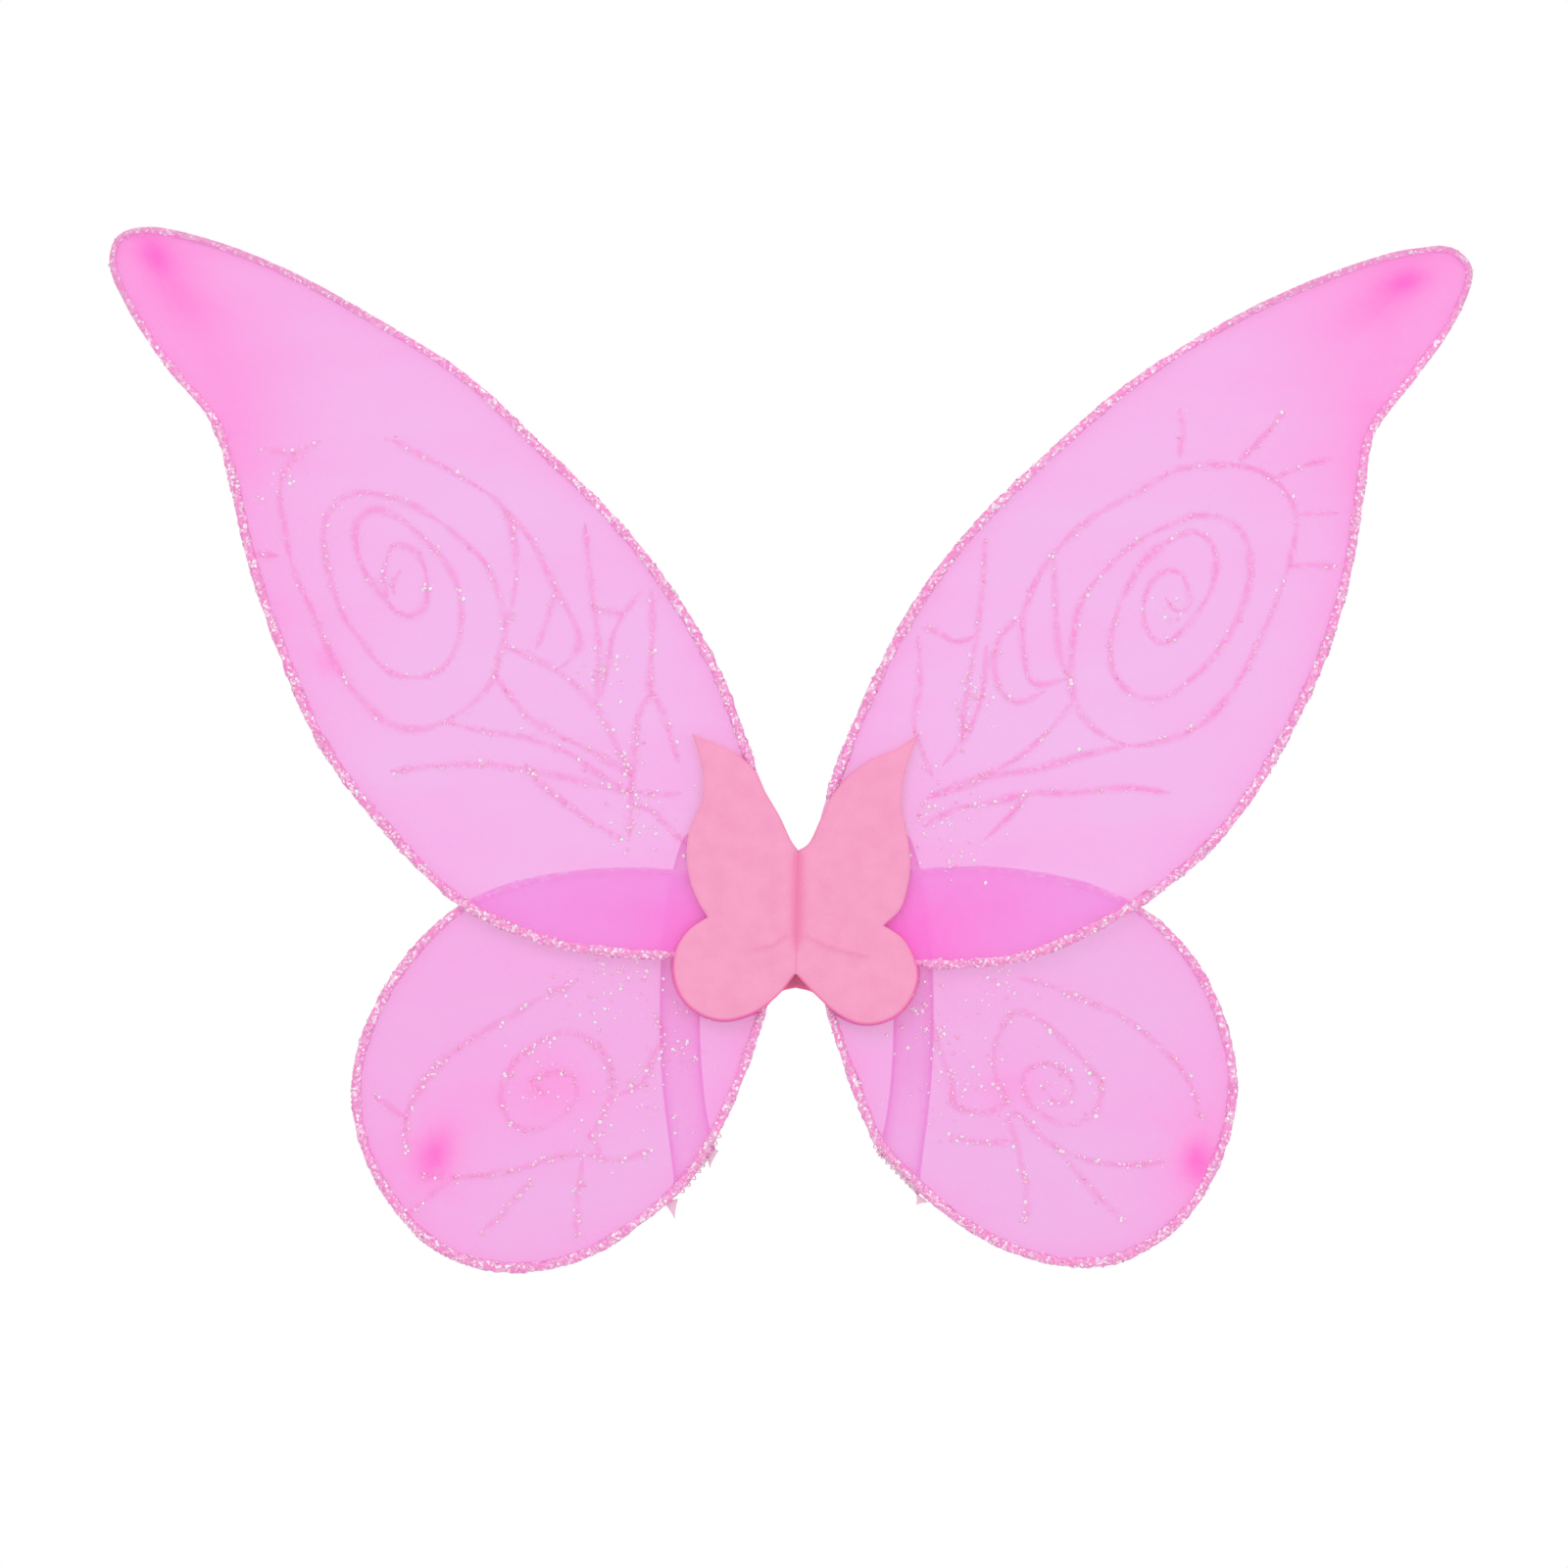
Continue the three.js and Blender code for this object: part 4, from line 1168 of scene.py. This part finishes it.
UPPER_LEFT_STROKES = [
    [(-149, 133), (-147, 137), (-142, 137), (-136.5, 131.5), (-134.5, 124), (-135.5, 115), (-140, 111.5),
     (-145.5, 113), (-151, 119), (-157, 127), (-160.5, 137), (-160, 145.5), (-155, 150), (-147, 148.5),
     (-138.5, 142), (-130, 133.5), (-124.5, 125), (-122, 112), (-124, 100), (-130, 91.5), (-140, 89),
     (-149, 91.5), (-158, 101.5), (-165.5, 112.5), (-170, 125), (-172.5, 142), (-170, 150), (-162, 156),
     (-151, 155.5), (-138.5, 151), (-124, 141), (-113, 130), (-108, 118), (-106, 108), (-108, 97),
     (-112, 86), (-121.5, 77), (-135, 70.5), (-146.5, 71.5), (-158, 80.5), (-168.5, 95), (-176, 112),
     (-183.5, 129), (-187, 145), (-188.5, 155), (-186.5, 165), (-181, 170.5), (-173.5, 175.5)],
    [(-144, 128), (-147, 124), (-146.5, 119)],
    [(-149, 133), (-150.5, 126), (-149, 118)],
    [(-148, 176), (-139, 171), (-124, 163), (-107, 151), (-103, 139), (-102, 126), (-104, 114),
     (-106.5, 107)],
    [(-107, 151), (-98, 141), (-91, 128), (-87.5, 121), (-84, 115), (-79, 102), (-84, 94), (-88, 92)],
    [(-87.5, 121), (-90, 112), (-92.5, 105), (-95, 99)],
    [(-108, 101), (-98, 97), (-88, 92), (-79, 85), (-74, 79), (-69, 72), (-66, 65), (-60, 53)],
    [(-110, 90), (-104, 82), (-98, 75), (-89, 69), (-76, 63), (-60, 53)],
    [(-128, 72.5), (-113, 69.5), (-98, 67), (-82, 61), (-72, 54), (-60, 47)],
    [(-148, 55), (-130, 57), (-108, 57), (-93, 54.5), (-77, 51), (-62, 47)],
    [(-98, 54.5), (-85, 44), (-74, 36), (-63, 30)],
    [(-77, 145), (-76, 135), (-74.5, 120), (-73, 110), (-72, 95), (-73, 79)],
    [(-57, 120), (-63, 112), (-67, 104), (-68.5, 95), (-71, 82)],
    [(-73, 114.5), (-68, 113), (-63, 112)],
    [(-52.5, 121), (-52.5, 105), (-53, 84), (-50, 79), (-47, 71), (-43, 58)],
    [(-53, 84), (-57.5, 75), (-58.5, 66), (-60, 50), (-60.5, 40), (-61, 31)],
    [(-60, 43), (-52, 40), (-45, 33), (-40, 28)],
    [(-58, 47.5), (-50, 46.5), (-42, 47)],
    [(-189, 133.5), (-195, 134), (-200, 133.5)],
    [(-181, 170.5), (-187, 171), (-194, 172.5)],
]
UPPER_RIGHT_STROKES = [
    [(134, 118), (137.5, 113.5), (142.5, 114.5), (142.5, 120.5), (139.5, 127), (133.5, 127.5), (128.5, 123),
     (126, 114), (128.5, 104.5), (133, 101.5), (139, 105), (146, 113), (151, 122), (152.5, 132),
     (150, 139), (144, 142), (135, 138.5), (126, 131), (119.5, 120), (115, 108), (114, 96), (117.5, 87),
     (125, 82), (134, 82), (144, 89), (154, 99.5), (161, 112), (165, 126), (163.5, 139), (157, 146),
     (147, 148), (137, 145), (124, 138.5), (111, 127), (103, 116), (100.5, 103), (99.5, 90), (101.5, 79),
     (110, 69), (121, 64.5), (135, 66.5), (147, 72), (158, 83.5), (168, 102), (175, 117.5), (180.5, 135),
     (182, 148), (177.5, 157.5), (168, 164.5), (154, 166.5), (139, 165), (124, 156.5), (107, 147),
     (91, 131), (83, 114), (82, 102), (86, 87), (98, 88.5)],
    [(93.5, 133), (94, 115), (95, 100), (98, 89)],
    [(81, 111), (74, 104), (71.5, 94), (75, 83), (81, 80), (90, 84)],
    [(68.5, 140), (67.5, 125), (65.5, 105), (62.5, 88), (60.5, 75), (60, 66)],
    [(69, 101), (68, 88), (66, 78), (60, 66), (53, 57)],
    [(45, 107), (52, 105), (58, 102), (65.5, 104)],
    [(44, 104), (44.5, 86), (42.5, 72), (45, 64), (49, 53)],
    [(100, 79.5), (90, 68), (77, 58), (61, 51), (47, 45)],
    [(121, 64.5), (103, 60.5), (86, 55.5), (71, 53), (56, 47)],
    [(136, 47), (120, 49), (100, 47), (86, 47), (70, 43.5), (57, 41), (46, 35)],
    [(84, 46), (76, 37.5), (68, 30)],
    [(139, 169), (140.5, 178), (139, 187)],
    [(161, 168), (169, 176), (178, 186)],
    [(174, 161.5), (184, 166), (195, 169)],
    [(183, 148.5), (190, 149), (197, 149)],
    [(179, 129.5), (188, 130), (197, 129.5)],
]
LOWER_LEFT_STROKES = [
    [(-80, -21.5), (-95, -28.5), (-107, -36), (-118, -42), (-127, -49), (-135, -57), (-140.5, -66),
     (-143, -75), (-141.5, -84)],
    [(-92, -63), (-96, -58), (-90, -55), (-82, -56), (-80, -62), (-85, -70), (-95, -75.5), (-104, -73),
     (-108, -64), (-105, -54), (-96, -45), (-87, -40.5), (-77, -42), (-70, -49), (-67, -60), (-71, -71),
     (-77, -80)],
    [(-76, -77), (-72, -84), (-82, -84.5), (-92, -87), (-106, -91), (-122, -93), (-138, -92)],
    [(-97, -94), (-103, -101), (-107.5, -107), (-115, -113)],
    [(-78, -86), (-79, -95), (-80, -104), (-80, -114)],
    [(-76, -85), (-65, -86.5), (-53, -83)],
    [(-52, -33), (-49, -40), (-53, -50), (-56, -58), (-65, -63)],
    [(-154, -64), (-148, -68), (-142, -72)],
    [(-124, -93), (-133, -99), (-143, -107)],
]
LOWER_RIGHT_STROKES = [
    [(80, -20), (90, -22.5), (104, -28), (117, -33.5), (126, -40), (134, -47), (141, -55), (145.5, -64),
     (147, -72)],
    [(92, -63), (96, -66), (101, -62), (98, -55), (90, -51.5), (83, -55), (84, -65), (92, -71.5),
     (102, -73.5), (110, -67), (110.5, -58), (105, -51), (97, -43), (88, -35), (79, -33), (73, -42),
     (72, -54), (77, -66)],
    [(76, -73), (80, -69.5), (90, -79), (104, -86), (118, -88.5), (134, -87.5)],
    [(94, -82), (102, -91), (107, -97), (114, -104), (120, -110)],
    [(77, -72), (80, -80), (82.5, -92), (84, -103), (83, -110)],
    [(56, -77.5), (66, -80), (79, -80)],
    [(49, -34), (52, -46), (56, -57), (58, -67), (69, -69), (77, -66)],
]

WINGS = [
    {
        "name": "upper_left", "sign": -1, "layer": UPPER_LAYER_Y, "points": UPPER_LEFT_LOOP, "seed": 11,
        "density": upper_density((-230, 238), (-206, 190), (-186, 115)), "rim_weight": upper_rim_weight,
        "rim_shows": lambda z: z > 55, "lean": 0.9, "deep": 0.0,
        # The last spot, beside the patch, is painted shade: the hot pink of the patch's shadow on the nylon
        "spots": [(-235, 243.5, -60, 8.5, 5.5, 0.6), (-225, 230, -55, 17, 8.5, 0.26),
                  (-170.5, 94, -40, 6, 4, 0.35), (-38, -6, 0, 18, 13, 0.42)],
        "strokes": UPPER_LEFT_STROKES, "ink": 0.85, "sparkle": 0.16,
        "scatter": [(-56, 42, 10, 46), (-71, 90, 5, 34), (-188, 160, 5, 16)],
    },
    {
        "name": "upper_right", "sign": 1, "layer": UPPER_LAYER_Y, "points": UPPER_RIGHT_LOOP, "seed": 12,
        "density": upper_density((221, 234), (208, 188), (194, 115)), "rim_weight": upper_rim_weight,
        "rim_shows": lambda z: z > 44, "lean": -0.9, "deep": 0.0,
        # The last spot, beside the patch, is painted shade: the hot pink of the patch's shadow on the nylon
        "spots": [(222.5, 233.5, 193, 8.5, 4.5, 0.6), (211, 226, 212, 17, 7, 0.26),
                  (38, -6, 0, 20, 13, 0.55)],
        "strokes": UPPER_RIGHT_STROKES, "ink": 0.95, "sparkle": 0.12,
        "scatter": [(50, 41, 8, 56), (64, 82, 6, 40), (58, 27, 8, 22), (136, 115, 4, 10)],
    },
    {
        "name": "lower_left", "sign": -1, "layer": LOWER_LAYER_Y, "points": LOWER_LEFT_LOOP, "seed": 13,
        "density": lower_density(0.03), "rim_weight": lower_rim_weight,
        # deep: painted shade on this lower wing's thin nylon
        "rim_shows": lambda z: z < -30, "lean": -0.6, "deep": 0.14,
        "spots": [(-132, -85, 60, 9, 6.5, 0.85), (-90, -60, 0, 15, 10, 0.3)],
        "strokes": LOWER_LEFT_STROKES, "ink": 0.75, "sparkle": 0.4,
        "scatter": [(-66, -20, 8, 50), (-75, -30, 7, 26), (-48, -44, 8, 40), (-60, -66, 9, 40),
                    (-92, -58, 9, 34)],
    },
    {
        "name": "lower_right", "sign": 1, "layer": LOWER_LAYER_Y, "points": LOWER_RIGHT_LOOP, "seed": 14,
        "density": lower_density(0.01), "rim_weight": lower_rim_weight,
        # deep: painted shade on this lower wing's thin nylon
        "rim_shows": lambda z: z < -30, "lean": 0.6, "deep": 0.14,
        "spots": [(146, -87, 90, 8, 6, 0.85), (78, -60, 0, 14, 9, 0.24)],
        "strokes": LOWER_RIGHT_STROKES, "ink": 0.75, "sparkle": 0.38,
        "scatter": [(76, -24, 7, 36), (46, -34, 7, 36), (58, -48, 8, 30), (60, -68, 8, 30),
                    (96, -60, 7, 30)],
    },
]
SLEEVE_ENDS_Z = {"upper": (16, 4), "lower": (0, -10)}


def make_wing(wing, shared):
    level, side = wing["name"].split("_")
    wing["body"] = f"{side}_half"
    wing["loop"] = closed_loop(wing["points"], LOOP_SPACING)
    wing["outline"] = wing["loop"] + turn_normals(wing["loop"]) * NYLON_WRAP_RADIUS
    wire = make_wire(wing, shared["wire"])
    make_stocking(wing)
    make_rim(wing, shared["rim"], shared["flakes"])
    make_swirls(wing, shared["stroke"], shared["flakes"])
    make_sleeve(wing, *SLEEVE_ENDS_Z[level], shared["tape"])


make_camera()
make_world()
make_softbox("key_softbox", (-1.2, -2.2, 2.0), 1.6, 14)
make_softbox("fill_softbox", (1.6, -1.8, 0.6), 1.6, 6)
make_softbox("back_softbox", (0.4, 2.2, 1.4), 1.6, 8)
make_floor()

elastic = elastic_material()
thread = thread_material()
for side, sign in (("left", -1), ("right", 1)):
    make_strap(side, sign, elastic)
    make_upper_tack(side, sign, thread)
    lower_wing = next(wing for wing in WINGS if wing["name"] == f"lower_{side}")
    make_lower_tack(side, sign, lower_wing, thread)

tape = tape_material()
shared = {
    "wire": wire_material(), "rim": rim_glue_material(), "stroke": stroke_glue_material(),
    "flakes": flake_material(), "tape": tape,
}
make_binding(tape)
for wing in WINGS:
    make_wing(wing, shared)

front_foam = foam_material("front_foam", (247, 161, 199), (242, 153, 193))
# Painted shade: the back patch is the same foam, given a deeper pink for its shade in the notch
back_foam_painted_deeper = foam_material("back_foam_painted_deeper", (250, 134, 178), (242, 122, 166))
# crease_shade_width and wrinkle_shade set the painted shade along the crease and the wrinkles
PATCHES = [
    {"name": "front", "notch": FRONT_PATCH_NOTCH, "rear_y": FRONT_PATCH_REAR_Y,
     "thickness": PATCH_THICKNESS, "material": front_foam, "bulge": front_bulge, "pad": no_pad,
     "crease_shade_width": 1.8, "margin": 0.0, "wrinkle_shade": 0.5},
    {"name": "back", "notch": BACK_PATCH_NOTCH, "rear_y": -PAD_RISE,
     "thickness": PATCH_THICKNESS - PAD_RISE, "material": back_foam_painted_deeper, "bulge": no_bulge,
     "pad": rear_pad, "crease_shade_width": 0.8, "margin": 1.1, "wrinkle_shade": 0.0},
]
for layer in PATCHES:
    make_patch_half("left", -1, layer)
    make_patch_half("right", 1, layer)

scene = bpy.context.scene
scene.view_settings.view_transform = "Standard"
scene.cycles.transparent_max_bounces = 32
